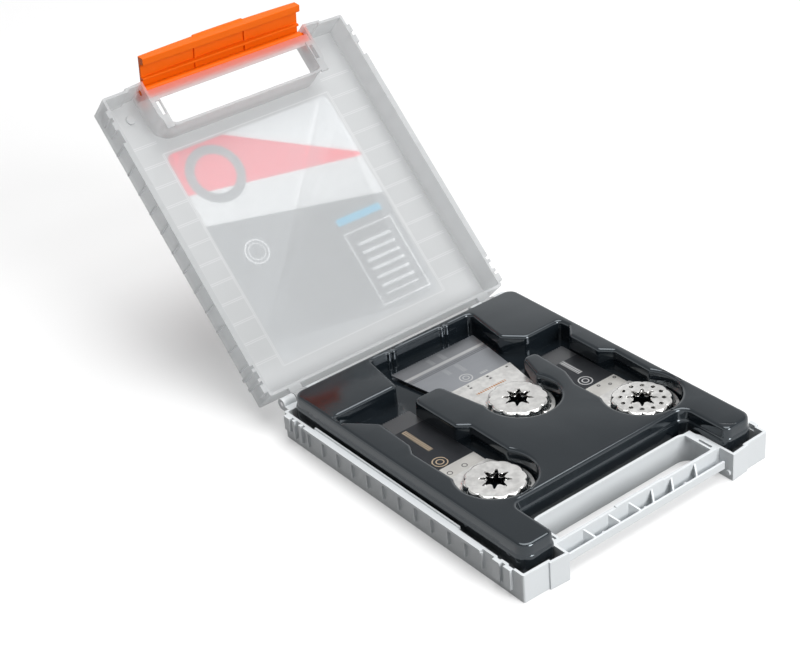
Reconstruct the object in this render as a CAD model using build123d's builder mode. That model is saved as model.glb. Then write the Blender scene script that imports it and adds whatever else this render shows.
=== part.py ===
"""Saw blade storage case: a flat two-shell case with a carrying handle, a front latch,
a formed blade tray and three stacks of two oscillating saw blades.

Millimetres.  The origin is the middle of the base's underside, +X to the right, +Y from the
handle towards the hinge, +Z up.  The lid is stored open, as it stands on its hinge stop.
"""
import os
from math import cos, pi, radians, sin, sqrt, tan

from build123d import *

# ------------------------------------------------------------------ driving dimensions
case_width = 183.2            # over the corner blocks
tray_length = 201.2           # the case's length follows the tray it holds
tray_front_room = 6.4         # tray's front to the outer front corners
tray_back_room = 3.4          # tray's back to the outer face of the rear walls
front_bow = 4.4               # how far the front bulges forward in the middle
base_height = 17.7            # table to the parting plane
lid_depth = 21.8              # parting plane to the outside of the lid's panel
wall = 1.8                    # moulded walls, floor and panel
edge_radius = 8.0             # long lower edges of the base
lid_edge_radius = 3.0         # long upper edges of the lid
base_draft = 0.6              # how far each side leans in from the rim to the floor
lid_draft = 2.8               # how far each side leans in from the rim to the panel
corner_radius = 1.5           # upright corners of both shells
notch_corner_radius = 10.0    # rear corners of the notch for the handle
front_step_x = 74.5           # the front is set back outside this, beside each corner
front_step_bow = 0.4          # how far the set-back part still slopes to the corner
lid_open_angle = 136.0        # closed to the hinge stop

opening_half_width = 56.5     # finger opening, half its width
ledge_width = 5.0             # ledge on each side of the opening, up to the corner blocks
ledge_thickness = 1.8
opening_setback = 30.6        # front corners to the rear face of the finger opening
opening_depth = 20.6          # finger opening from back to bar
ledge_slot_length = 10.0      # slot in the ledge each side of the opening
ledge_slot_width = 1.4
lid_slot_width = 2.6          # the lid's slots are wider
ledge_slot_offset = 2.3       # side of the opening to the middle of the slot
ledge_slot_shift = 4.0        # slot's middle in front of the opening's middle

bar_wall = 2.0                # upright wall of the base's handle bar
bar_lip_end_gap = 1.8         # ends of the bar's lip to the corner blocks
bar_lip_reach = 8.0           # rear face of the bar to the front of its lip
bar_lip_height = 5.0
bar_lip_drop = 5.6            # parting plane down to the top of the lip
bar_lip_thickness = 1.4
bar_foot = 3.0                # clear height under the bar
bar_crown_half_width = 18.0   # raised middle of the bar
bar_crown_height = 0.8
gusset_thickness = 1.3
gusset_feet = (42.0, 23.7, 8.7)     # distance of each pair from the middle, at the wall
gusset_lean = 3.6             # how far a gusset leans to the middle on its way to the lip
peg_radius = 1.1
peg_spacing = 31.0
stud_radius = 1.6             # latch detent studs on the corner blocks
stud_height = 1.2
stud_drop = 13.2              # parting plane down to the stud

rib_pitch = 14.1              # upright ribs along the sides
rib_count = 12
rib_setback = 31.3            # front corners to the first rib
rib_width = 1.3
rib_height = 1.5
rim_flange = 2.2              # how far the rim stands out from the side wall
rim_flange_height = 2.0
rim_flange_setback = 31.3     # from the front corners
rim_flange_back_room = 22.0   # to the rear wall
seal_lip_height = 0.9         # raised inner lip of the base's rim
seal_lip_width = 1.2
seal_lip_setback = 53.0       # from the front corners
seal_lip_back_room = 28.0     # to the rear wall
seal_lip_play = 0.35
parting_gap = 0.3             # closed lid over the base's rim

clip_reach = 2.0              # side connector blocks
clip_rows = (                 # near the front: setback, length, extra reach, drop (None: whole side)
    (8.2, 5.3, 0.0, 13.2), (16.4, 5.7, 0.0, 12.5),
)
rim_notches = ((8.1, 4.6, 3.2), (18.5, 2.9, 1.6))   # in the base's side walls: setback, length, depth

back_clip_rows = (            # near the hinge: room to the rear wall, length, extra reach, drop
    (17.6, 2.2, 0.3, None), (10.8, 2.2, 0.0, None), (3.4, 5.4, 0.6, 9.5),
)

hinge_reach = 7.1             # rear wall to the hinge axis, which lies in the parting plane
knuckle_radius = 3.6
hinge_pin_radius = 1.5
hinge_fit = 0.05
knuckle_length = 9.0
knuckle_gap = 0.4
hinge_group_inset = 17.3      # side of the case to the middle of each hinge group
hinge_arm = 3.6               # height of the arms that carry the knuckles
stop_reach = 6.8              # stop heel to the hinge axis, when it meets the rear wall

latch_gap = 1.7               # latch ends to the corner blocks
latch_skin = 1.7
latch_pivot_setback = 2.1     # from the front corners
latch_pivot_rise = 7.3        # above the parting plane
latch_pin_radius = 1.9
latch_pin_fit = 0.1
latch_pin_length = 3.2
latch_barrel_radius = 3.3
latch_bottom = 2.2
latch_rise = 8.5              # parting plane to the latch's upper edge
latch_hook_setback = 3.2      # rear edge of the hook
latch_hook_gap = 0.2          # under the base's lip
latch_open_rest = 38.0        # how far the latch stands open in the stored state
latch_crown_half_width = 19.0 # the free edge stands out between these
latch_crown_height = 0.7
latch_rib_height = 1.3
latch_rib_places = (-19.0, 19.0)
latch_ridge_setback = 1.4     # rear edge of the long ridge above the base's lip
latch_ridge_height = 1.6
latch_ridge_rise = 0.3        # parting plane to the ridge's top
brow_rise = 14.1              # parting plane to the lower edge of the lid's front wall above the latch
lid_opening_setback = 32.1
lid_bar_setback = 11.7        # rear edge of the lid's handle bar, at its underside
lid_bar_lift = 1.0            # underside of the bar above the parting gap
lid_bar_lean = 0.375          # slope of the bar's rear wall
lid_bar_strip_setback = 4.2   # front edge of the strip along the bar
corner_boss_offset = 10.5     # inner face of the corner block to the boss in its lid
corner_boss_setback = 12.1
corner_boss_radius = 3.0

label_width = 125.0
label_length = 151.0
label_gap = 1.5               # recess's front edge to the sheet
label_thickness = 0.4
recess_depth = 0.6
recess_half_width = 64.0
recess_setback = 40.1         # front corners to the recess
recess_back_room = 16.9       # recess to the rear wall
panel_rib_height = 0.5

tray_width = 170.0
tray_top = 28.1
tray_sheet = 1.0
tray_seat = 3.0               # underside of the tray's skirt above the table
tray_corner = 6.0
tray_notch_corner = 7.0
tray_notch_side_room = 3.7    # inner faces of the corner blocks to the tray's handle notch
tray_notch_back_room = 8.7    # rear face of the finger opening to the notch
tray_skirt_spread = 1.0       # how far the skirt stands out below the top
tray_step_height = 7.0        # skirt height below the top where it steps out
floor_rib_width = 3.0
floor_rib_spacing = 58.0

pocket_depth = 13.1           # tray top to the pocket floor
well_centres = ((-52.3, -41.5, 23.8), (9.0, 5.6, 23.8), (59.4, -41.0, 24.0))
recess_corners = (            # outline of the joined pockets: x, y, corner radius
    (-31.3, 98.2, 5), (48.1, 97.0, 5), (43.0, 62.5, 5), (53.5, 50.9, 4), (80.5, 51.0, 4),
    (81.4, 42.0, 3), (73.9, 33.0, 3), (73.8, 9.5, 3), (80.3, 2.0, 3), (79.2, -36.0, 0),
    (39.0, -36.0, 0), (38.3, -8.0, 3), (43.7, 6.0, 3), (44.6, 33.0, 4), (36.5, 33.6, 3),
    (28.5, 9.0, 0), (-13.0, 6.0, 0), (-20.0, 45.2, 6), (-38.6, 45.6, 6), (-38.3, 8.5, 3),
    (-31.9, 2.5, 3), (-32.0, -36.0, 0), (-72.4, -36.0, 0), (-73.4, 4.0, 3), (-69.4, 11.5, 3),
    (-68.4, 40.0, 4), (-75.9, 48.4, 3), (-83.6, 56.5, 4), (-82.6, 65.0, 4), (-37.0, 65.0, 4),
)

blade_thickness = 0.9
hub_plate_thickness = 1.2
cup_rise = 4.7                # hub plate's top to the cup's top
cup_wall = 1.1
cup_base_radius = 18.6
cup_top_radius = 16.1
cup_sides = 12
hub_plate_radius = 21.6
blade_root = 19.8             # hub centre to the hidden end of the blade plate
stack_gap = 0.6               # between the two blades of a stack
floor_gap = 0.2
star_body_radius = 6.2
star_tip_radius = 9.1
star_points = 8
pin_hole_radius = 1.1
pin_hole_circle = 12.5
pin_hole_count = 12
tooth_depth = 1.1
tooth_pitch = 1.7

# ------------------------------------------------------------------ worked-out values
half_width = case_width / 2
lid_top = base_height + lid_depth
bow_radius = (half_width**2 + front_bow**2) / (2 * front_bow)
front_corner_y = -(tray_length / 2 + tray_front_room)
front_middle_y = front_corner_y - front_bow
back_wall_y = tray_length / 2 + tray_back_room
handle_half_width = opening_half_width + ledge_width
opening_back_y = front_corner_y + opening_setback
bar_back_y = opening_back_y - opening_depth
latch_half_width = handle_half_width - latch_gap
parting = base_height + parting_gap
pocket_floor = tray_top - pocket_depth
stack_pitch = blade_thickness + hub_plate_thickness + stack_gap
lower_level = pocket_floor + floor_gap
upper_level = lower_level + stack_pitch
lip_front_y = bar_back_y - bar_lip_reach
lip_bottom = base_height - bar_lip_drop - bar_lip_height
rib_places = [front_corner_y + rib_setback + i * rib_pitch for i in range(rib_count)]
rim_flange_front_y = front_corner_y + rim_flange_setback
rim_flange_back_y = back_wall_y - rim_flange_back_room
seal_lip_front_y = front_corner_y + seal_lip_setback
seal_lip_back_y = back_wall_y - seal_lip_back_room
hinge_y = back_wall_y + hinge_reach
hinge_group_x = half_width - hinge_group_inset
latch_pivot_y = front_corner_y + latch_pivot_setback
latch_pivot_height = base_height + latch_pivot_rise
latch_top = base_height + latch_rise
latch_hook_y = front_corner_y + latch_hook_setback
latch_ridge_y = front_corner_y + latch_ridge_setback
latch_ridge_high = base_height + latch_ridge_rise
latch_ridge_low = latch_ridge_high - latch_ridge_height
brow_bottom = base_height + brow_rise
lid_opening_back_y = front_corner_y + lid_opening_setback
lid_bar_back_y = front_corner_y + lid_bar_setback
lid_bar_front_y = front_corner_y + lid_bar_strip_setback
corner_boss_x = handle_half_width + corner_boss_offset
corner_boss_y = front_corner_y + corner_boss_setback
recess_front_y = front_corner_y + recess_setback
recess_back_y = back_wall_y - recess_back_room
label_front_y = recess_front_y + label_gap
tray_notch_half_width = handle_half_width + tray_notch_side_room
tray_notch_y = opening_back_y + tray_notch_back_room

hinge_axis = Axis((0, hinge_y, base_height), (1, 0, 0))
latch_axis = Axis((0, latch_pivot_y, latch_pivot_height), (1, 0, 0))


def front_y(x, inset=0.0):
    """Y of the bowed front face at x, moved inwards by inset."""
    return front_middle_y + bow_radius - sqrt((bow_radius - inset) ** 2 - x**2)


def shell_outline(inset=0.0):
    """Plan of either shell, moved inwards by inset: bowed front, straight sides, handle notch."""
    x = half_width - inset
    back = back_wall_y - inset
    with BuildSketch(mode=Mode.PRIVATE) as plan:
        with BuildLine():
            side_y = front_y(x, inset)
            front = ThreePointArc((-x, side_y), (0, front_middle_y + inset), (x, side_y))
            Polyline(front @ 1, (x, back), (-x, back), front @ 0)
        make_face()
        fillet(plan.vertices(), corner_radius - min(inset, corner_radius - 1))
        notch_length = 2 * (opening_back_y - front_middle_y)
        with Locations((0, opening_back_y + inset)):
            RectangleRounded(
                2 * (handle_half_width + inset),
                notch_length,
                notch_corner_radius + inset,
                align=(Align.CENTER, Align.MAX),
                mode=Mode.SUBTRACT,
            )
        for side in (-1, 1):
            near, far = side * (front_step_x - inset), side * (half_width + 1)
            with BuildLine() as step:
                Polyline(
                    (near, front_middle_y - 1),
                    (near, front_corner_y - front_step_bow + inset),
                    (far, front_corner_y + inset),
                    (far, front_middle_y - 1),
                    close=True,
                )
            make_face(step.edges(), mode=Mode.SUBTRACT)
    return plan.sketch


def bowed_strip(half, depth):
    """Strip along the bowed front, depth deep, to half on each side; call inside a sketch."""
    with BuildLine() as outline:
        outer = ThreePointArc((-half, front_y(half)), (0, front_middle_y), (half, front_y(half)))
        back_y = front_y(half, depth)
        inner = ThreePointArc((half, back_y), (0, front_middle_y + depth), (-half, back_y))
        Line(outer @ 1, inner @ 0)
        Line(inner @ 1, outer @ 0)
    make_face(outline.edges())


def bowed_plate(half, back_y):
    """Plate from the bowed front to back_y, to half on each side; call inside a sketch."""
    with BuildLine() as outline:
        front = ThreePointArc((-half, front_y(half)), (0, front_middle_y), (half, front_y(half)))
        Polyline(front @ 1, (half, back_y), (-half, back_y), front @ 0)
    make_face(outline.edges())


def cross_section(half_rim, half_face, rim_z, face_z, radius):
    """Section of a shell across its width, with its two far corners rounded."""
    with BuildSketch(Plane.XZ, mode=Mode.PRIVATE) as section:
        with BuildLine():
            Polyline(
                (-half_rim, rim_z), (half_rim, rim_z), (half_face, face_z), (-half_face, face_z), close=True
            )
        make_face()
        far = section.vertices().filter_by(lambda v: abs(v.Z - face_z) < 0.01)
        fillet(far, radius)
    return section.sketch


def rounded_face(corners):
    """Face of a closed outline of (x, y, radius) corners; call inside a sketch."""
    with BuildLine() as outline:
        ends = []
        count = len(corners)
        for i, (x, y, r) in enumerate(corners):
            before = Vector(*corners[i - 1][:2]) - Vector(x, y)
            after = Vector(*corners[(i + 1) % count][:2]) - Vector(x, y)
            half = radians(before.get_angle(after)) / 2
            reach = r / tan(half) if r else 0.0
            bisector = (before.normalized() + after.normalized()).normalized()
            start = Vector(x, y) + before.normalized() * reach
            middle = Vector(x, y) + bisector * (r / sin(half) - r)
            ends.append((start, middle, Vector(x, y) + after.normalized() * reach))
        for i, (start, middle, end) in enumerate(ends):
            if corners[i][2]:
                ThreePointArc(start, middle, end)
            Line(end, ends[(i + 1) % count][0])
    make_face(outline.edges())


def side_details(direction):
    """Boxes of ribs and connector blocks on both sides, as (size, centre); +1 builds the lid's."""
    def span(low, high):
        return (base_height - high, base_height - low) if direction < 0 else (parting + low, parting + high)

    shell_height = base_height if direction < 0 else lid_depth
    wall_end = shell_height - (edge_radius - 3 if direction < 0 else lid_edge_radius)
    boxes = []
    for side in (-1, 1):
        for y in rib_places:
            low, high = span(rim_flange_height - 0.2, wall_end)
            boxes.append((side, rib_height, y - rib_width / 2, y + rib_width / 2, low, high))
        low, high = span(0, rim_flange_height)
        boxes.append((side, rim_flange, rim_flange_front_y, rim_flange_back_y, low, high))
        rows = [(front_corner_y + setback, *row) for setback, *row in clip_rows]
        rows += [(back_wall_y - room - row[0], *row) for room, *row in back_clip_rows]
        for y, length, extra, drop in rows:
            low, high = span(0, drop or wall_end)
            boxes.append((side, clip_reach + extra, y, y + length, low, high))
    return boxes


def add_side_details(direction):
    for side, reach, y0, y1, z0, z1 in side_details(direction):
        middle = (side * (half_width - 0.4 + reach / 2), (y0 + y1) / 2, (z0 + z1) / 2)
        with Locations(middle):
            Box(reach + 0.8, y1 - y0, z1 - z0)


# ------------------------------------------------------------------ base shell
with BuildPart() as base_cavity:
    with BuildSketch(Plane.XY.offset(wall)):
        add(shell_outline(wall))
    extrude(amount=base_height)
    inner_half = half_width - wall
    add(cross_section(inner_half, inner_half - base_draft, 2 * base_height, wall, edge_radius - wall))
    extrude(amount=2 * case_width, both=True, mode=Mode.INTERSECT)

bar_profile_points = [
    (bar_back_y, base_height),
    (bar_back_y, bar_foot),
    (bar_back_y - bar_wall, bar_foot - 1.2),
    (lip_front_y + bar_lip_thickness + 0.3, lip_bottom),
    (lip_front_y, lip_bottom),
    (bar_back_y - bar_lip_reach, base_height - bar_lip_drop),
    (bar_back_y - bar_lip_reach + bar_lip_thickness, base_height - bar_lip_drop),
    (bar_back_y - bar_lip_reach + bar_lip_thickness, base_height - bar_lip_drop - bar_lip_height + 0.9),
    (bar_back_y - bar_wall, bar_foot + 1.2),
    (bar_back_y - bar_wall, base_height),
]

with BuildPart() as base_shell:
    with BuildSketch():
        add(shell_outline())
    extrude(amount=base_height)
    add(cross_section(half_width, half_width - base_draft, base_height, 0, edge_radius))
    extrude(amount=2 * case_width, both=True, mode=Mode.INTERSECT)
    add(base_cavity.part, mode=Mode.SUBTRACT)
    # ledges beside the finger opening, each with a slot
    for side in (-1, 1):
        ledge_x = side * (opening_half_width + (ledge_width + 0.4) / 2)
        with Locations((ledge_x, opening_back_y + 0.4, base_height)):
            Box(
                ledge_width + 0.4,
                opening_depth + bar_wall + 0.4,
                ledge_thickness,
                align=(Align.CENTER, Align.MAX, Align.MAX),
            )
        slot_y = opening_back_y - opening_depth / 2 - ledge_slot_shift
        with Locations((side * (opening_half_width + ledge_slot_offset), slot_y, base_height)):
            Box(
                ledge_slot_width,
                ledge_slot_length,
                4 * ledge_thickness,
                mode=Mode.SUBTRACT,
            )
    # handle bar: upright wall between the corner blocks, sloping floor and front lip
    lip_half_width = handle_half_width - bar_lip_end_gap
    with BuildSketch(Plane.YZ.offset(-lip_half_width)):
        with BuildLine():
            Polyline(*bar_profile_points, close=True)
        make_face()
    extrude(amount=2 * lip_half_width)
    with Locations((0, bar_back_y, bar_foot)):
        Box(
            2 * handle_half_width + 0.8,
            bar_wall,
            base_height - bar_foot,
            align=(Align.CENTER, Align.MAX, Align.MIN),
        )
    with Locations((0, bar_back_y - bar_wall / 2, base_height)):
        Box(2 * bar_crown_half_width, bar_wall, 2 * bar_crown_height)
    # gussets fan in towards the middle of the bar
    gusset_run = bar_lip_reach - bar_wall - bar_lip_thickness / 2
    for side in (-1, 1):
        for foot in gusset_feet:
            with BuildSketch(Plane.XY.offset(bar_foot + 1.6)):
                with BuildLine():
                    x0 = side * foot
                    x1 = side * (foot - gusset_lean)
                    y0 = bar_back_y - bar_wall + 0.3
                    y1 = y0 - gusset_run
                    h = gusset_thickness / 2
                    Polyline((x0 - h, y0), (x0 + h, y0), (x1 + h, y1), (x1 - h, y1), close=True)
                make_face()
            extrude(amount=base_height - 1.2 - (bar_foot + 1.6))
    # the gussets' tops slope from the wall down to the lip, and their feet stop at the bar's floor
    with BuildSketch(Plane.YZ.offset(-opening_half_width + 0.5)):
        with BuildLine():
            wall_y = bar_back_y - bar_wall
            lip_y = bar_back_y - bar_lip_reach
            Polyline(
                (wall_y, base_height - 1.2),
                (lip_y, base_height - bar_lip_drop),
                (lip_y, base_height),
                (wall_y, base_height),
                close=True,
            )
        make_face()
        with BuildLine():
            Polyline(
                (wall_y, bar_foot - 1.2),
                (lip_y + bar_lip_thickness + 0.3, lip_bottom),
                (lip_y, lip_bottom),
                (lip_y, 0),
                (wall_y, 0),
                close=True,
            )
        make_face()
    extrude(amount=2 * opening_half_width - 1, mode=Mode.SUBTRACT)
    for i in (-1, 0, 1):
        with Locations((i * peg_spacing, lip_front_y + bar_lip_thickness + 0.8, lip_bottom + 0.1)):
            Cylinder(
                peg_radius,
                bar_lip_height - 1.2,
                align=(Align.CENTER, Align.CENTER, Align.MIN),
            )
    # detent studs for the latch
    stud_y = bar_back_y - bar_lip_reach - 1.4
    for side in (-1, 1):
        stud_base = (side * (handle_half_width + 0.3), stud_y, base_height - stud_drop)
        with Locations(Location(stud_base, (0, -side * 90, 0))):
            Cylinder(stud_radius, stud_height + 0.3, align=(Align.CENTER, Align.CENTER, Align.MIN))
    # notches in the side walls' rims, then ribs, flanges and connector blocks over them
    for side in (-1, 1):
        for setback, length, depth in rim_notches:
            notch_y = front_corner_y + setback + length / 2
            with Locations((side * (half_width - wall / 2), notch_y, base_height)):
                Box(2 * wall, length, 2 * depth, mode=Mode.SUBTRACT)
    add_side_details(-1)
    # raised inner lip of the rim, on a short web from each side wall
    for side in (-1, 1):
        lip_outer = half_width - wall - seal_lip_play
        for outer, top in ((half_width - wall + 0.3, 0.0), (lip_outer, seal_lip_height)):
            with Locations((side * outer, (seal_lip_front_y + seal_lip_back_y) / 2, base_height - 1.5)):
                Box(
                    outer - lip_outer + seal_lip_width,
                    seal_lip_back_y - seal_lip_front_y,
                    1.5 + top,
                    align=(Align.MAX if side > 0 else Align.MIN, Align.CENTER, Align.MIN),
                )
    # low cross ribs on the floor carry the tray's skirt
    for y in (-floor_rib_spacing, 0.0, floor_rib_spacing):
        with Locations((0, y, wall - 0.3)):
            Box(
                tray_width + 6,
                floor_rib_width,
                tray_seat - wall + 0.3,
                align=(Align.CENTER, Align.CENTER, Align.MIN),
            )

# ------------------------------------------------------------------ hinge groups
def knuckle_row(middle_x, shift):
    """A knuckle about the hinge axis at one place along its group."""
    x = middle_x + shift * (knuckle_length + knuckle_gap)
    with Locations(Location((x, hinge_y, base_height), (0, 90, 0))):
        Cylinder(knuckle_radius, knuckle_length)


with BuildPart() as base_final:
    add(base_shell.part)
    for side in (-1, 1):
        for shift in (-1, 1):
            knuckle_row(side * hinge_group_x, shift)
            x = side * hinge_group_x + shift * (knuckle_length + knuckle_gap)
            with Locations((x, back_wall_y - 0.5, base_height)):
                Box(
                    knuckle_length,
                    hinge_y - back_wall_y + 0.5,
                    hinge_arm,
                    align=(Align.CENTER, Align.MIN, Align.MAX),
                )
        with Locations(Location((side * hinge_group_x, hinge_y, base_height), (0, 90, 0))):
            Cylinder(hinge_pin_radius + hinge_fit, 4 * knuckle_length, mode=Mode.SUBTRACT)

# ------------------------------------------------------------------ lid shell, built closed
with BuildPart() as lid_cavity:
    with BuildSketch(Plane.XY.offset(parting - 1)):
        add(shell_outline(wall))
    extrude(amount=lid_top - wall - parting + 1)
    add(cross_section(half_width - wall, half_width - lid_draft - wall, parting - 1, lid_top - wall, 2.0))
    extrude(amount=2 * case_width, both=True, mode=Mode.INTERSECT)

with BuildPart() as lid_closed:
    with BuildSketch(Plane.XY.offset(parting)):
        add(shell_outline())
    extrude(amount=lid_top - parting)
    add(cross_section(half_width, half_width - lid_draft, parting, lid_top, lid_edge_radius))
    extrude(amount=2 * case_width, both=True, mode=Mode.INTERSECT)
    add(lid_cavity.part, mode=Mode.SUBTRACT)
    # ledges beside the finger opening, each with a slot through it
    for side in (-1, 1):
        ledge_x = side * (opening_half_width + (ledge_width + 0.4) / 2)
        with Locations((ledge_x, lid_opening_back_y + 0.4, parting)):
            Box(
                ledge_width + 0.4,
                lid_opening_back_y - lid_bar_back_y + bar_wall + 0.4,
                ledge_thickness,
                align=(Align.CENTER, Align.MAX, Align.MIN),
            )
        slot_y = (lid_opening_back_y + lid_bar_back_y) / 2 - ledge_slot_shift
        with Locations((side * (opening_half_width + ledge_slot_offset), slot_y, parting)):
            Box(lid_slot_width, ledge_slot_length, 3 * lid_depth, mode=Mode.SUBTRACT)
    # handle bar: leaning rear wall with a strip along its lower edge
    bar_low = parting + lid_bar_lift
    bar_top_y = lid_bar_back_y - lid_bar_lean * (lid_top - bar_low)
    with BuildSketch(Plane.YZ.offset(-handle_half_width - 0.4)):
        with BuildLine():
            Polyline(
                (lid_bar_back_y, bar_low),
                (lid_bar_front_y, bar_low),
                (lid_bar_front_y, bar_low + wall),
                (lid_bar_back_y - bar_wall - lid_bar_lean * wall, bar_low + wall),
                (bar_top_y - bar_wall, lid_top),
                (bar_top_y, lid_top),
                close=True,
            )
        make_face()
    extrude(amount=2 * (handle_half_width + 0.4))
    # its top, and the bowed brow over the latch
    x = handle_half_width + 0.4
    with BuildSketch(Plane.XY.offset(lid_top - wall)):
        bowed_plate(x, bar_top_y - 0.5)
    extrude(amount=wall)
    with BuildSketch(Plane.XY.offset(brow_bottom)):
        bowed_strip(x, wall)
    extrude(amount=lid_top - brow_bottom)
    for side in (-1, 1):
        with Locations((side * corner_boss_x, corner_boss_y, lid_top - wall + 0.2)):
            Cylinder(corner_boss_radius, 1.4, align=(Align.CENTER, Align.CENTER, Align.MAX))
    # holes for the latch's pins in the inner walls of the corner blocks
    with Locations(Location((0, latch_pivot_y, latch_pivot_height), (0, 90, 0))):
        Cylinder(latch_pin_radius + latch_pin_fit, 2 * (handle_half_width + wall + 1), mode=Mode.SUBTRACT)
    add_side_details(1)
    # low ribs across the panel's border, in line with the side ribs
    for side in (-1, 1):
        for y in rib_places:
            rung_end = half_width - lid_draft - lid_edge_radius + 1
            with Locations((side * (recess_half_width + rung_end) / 2, y, lid_top - 0.3)):
                Box(
                    rung_end - recess_half_width,
                    rib_width,
                    panel_rib_height + 0.3,
                    align=(Align.CENTER, Align.CENTER, Align.MIN),
                )
    # shallow recess for the label sheet
    with Locations((0, (recess_front_y + recess_back_y) / 2, lid_top)):
        Box(
            2 * recess_half_width,
            recess_back_y - recess_front_y,
            recess_depth,
            align=(Align.CENTER, Align.CENTER, Align.MAX),
            mode=Mode.SUBTRACT,
        )
    # middle knuckles with their arms and stop heels
    for side in (-1, 1):
        knuckle_row(side * hinge_group_x, 0)
        with Locations((side * hinge_group_x, back_wall_y - 0.5, parting)):
            Box(
                knuckle_length,
                hinge_y - back_wall_y + 0.5,
                hinge_arm - parting_gap,
                align=(Align.CENTER, Align.MIN, Align.MIN),
            )
        with Locations(Location((side * hinge_group_x, hinge_y, base_height), (lid_open_angle, 0, 0))):
            with Locations((0, -stop_reach, -hinge_arm)):
                Box(
                    knuckle_length,
                    stop_reach,
                    hinge_arm - 0.2,
                    align=(Align.CENTER, Align.MIN, Align.MIN),
                )
        with Locations(Location((side * hinge_group_x, hinge_y, base_height), (0, 90, 0))):
            Cylinder(hinge_pin_radius + hinge_fit, 4 * knuckle_length, mode=Mode.SUBTRACT)

# ------------------------------------------------------------------ latch, built closed
with BuildPart() as latch_closed:
    for low, high, back_y in (
        (latch_bottom, lip_bottom - latch_hook_gap, latch_hook_y),
        (latch_ridge_low, latch_ridge_high, latch_ridge_y),
        (latch_pivot_height - 1.4, latch_pivot_height + 1.4, latch_pivot_y),
    ):
        with BuildSketch(Plane.XY.offset(low)):
            bowed_plate(latch_half_width, back_y)
        extrude(amount=high - low)
    with BuildSketch(Plane.XY.offset(latch_bottom)):
        bowed_strip(latch_half_width, latch_skin)
    extrude(amount=latch_top - latch_bottom)
    with BuildSketch(Plane.XY.offset(latch_bottom - latch_crown_height)):
        bowed_strip(latch_crown_half_width, latch_skin)
    extrude(amount=latch_crown_height)
    with Locations(Location((0, latch_pivot_y, latch_pivot_height), (0, 90, 0))):
        Cylinder(latch_barrel_radius, 2 * latch_half_width)
        Cylinder(latch_pin_radius, 2 * (latch_half_width + latch_pin_length))
    for x in latch_rib_places:
        with Locations((x, front_y(x) + 0.5, latch_bottom + 1)):
            Box(
                1.4,
                latch_skin + latch_rib_height - 0.5,
                latch_pivot_height - latch_bottom - 1,
                align=(Align.CENTER, Align.MIN, Align.MIN),
            )

# ------------------------------------------------------------------ label sheet, built closed
with BuildPart() as label_closed:
    with Locations((0, label_front_y + label_length / 2, lid_top - recess_depth)):
        Box(label_width, label_length, label_thickness, align=(Align.CENTER, Align.CENTER, Align.MIN))
    fillet(label_closed.edges().filter_by(Axis.Z), 4)

# ------------------------------------------------------------------ hinge pins
def hinge_pin(side):
    """One pin through the three knuckles of a hinge group."""
    with BuildPart() as pin:
        with Locations(Location((side * hinge_group_x, hinge_y, base_height), (0, 90, 0))):
            Cylinder(hinge_pin_radius, 3 * knuckle_length + 2 * knuckle_gap - 0.6)
    return pin


# ------------------------------------------------------------------ blade tray
def tray_outline(grow=0.0):
    """Plan of the tray, grown by a margin, with the notch for the handle."""
    with BuildSketch(mode=Mode.PRIVATE) as plan:
        RectangleRounded(tray_width + 2 * grow, tray_length + 2 * grow, tray_corner + grow)
        with Locations((0, tray_notch_y - grow)):
            RectangleRounded(
                2 * (tray_notch_half_width - grow),
                tray_length,
                tray_notch_corner - grow,
                align=(Align.CENTER, Align.MAX),
                mode=Mode.SUBTRACT,
            )
    return plan.sketch


def pocket_outline(grow=0.0):
    """Plan of the joined pockets with their three round wells, grown by a margin."""
    with BuildSketch(mode=Mode.PRIVATE) as plan:
        rounded_face(recess_corners)
        for x, y, radius in well_centres:
            with Locations((x, y)):
                Circle(radius)
        if grow:
            offset(amount=grow)
    return plan.sketch


tray_step = tray_top - tray_step_height
with BuildPart() as blade_tray:
    for grow, low, high in ((tray_skirt_spread, tray_seat, tray_step), (0.0, tray_step, tray_top)):
        with BuildSketch(Plane.XY.offset(low)):
            add(tray_outline(grow))
        extrude(amount=high - low)
    for grow, low, high in (
        (tray_skirt_spread - tray_sheet, tray_seat, tray_step - tray_sheet),
        (-tray_sheet, tray_step - tray_sheet, tray_top - tray_sheet),
    ):
        with BuildSketch(Plane.XY.offset(low)):
            add(tray_outline(grow))
        extrude(amount=high - low, mode=Mode.SUBTRACT)
    with BuildSketch(Plane.XY.offset(pocket_floor - tray_sheet)):
        add(pocket_outline(tray_sheet))
    extrude(amount=pocket_depth)
    with BuildSketch(Plane.XY.offset(pocket_floor)):
        add(pocket_outline())
    extrude(amount=pocket_depth + 1, mode=Mode.SUBTRACT)


# ------------------------------------------------------------------ blades
def blade_half(widths, y):
    """Half-width of a blade at y, from its (y, half-width) table."""
    for (y0, w0), (y1, w1) in zip(widths, widths[1:]):
        if y <= y1:
            return w0 + (w1 - w0) * (y - y0) / (y1 - y0)
    return widths[-1][1]


def blade_plate(hub, widths, joint_y, level):
    """Flat steel plate from under the hub plate to the toothed strip."""
    x, y = hub
    stations = [y + blade_root] + [s for s, _ in widths if y + blade_root < s < joint_y] + [joint_y]
    right = [(x + blade_half(widths, s), s) for s in stations]
    left = [(x - blade_half(widths, s), s) for s in reversed(stations)]
    with BuildPart() as plate:
        with BuildSketch(Plane.XY.offset(level)):
            with BuildLine():
                Polyline(*right, *left, close=True)
            make_face()
        extrude(amount=blade_thickness)
    return plate


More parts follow.
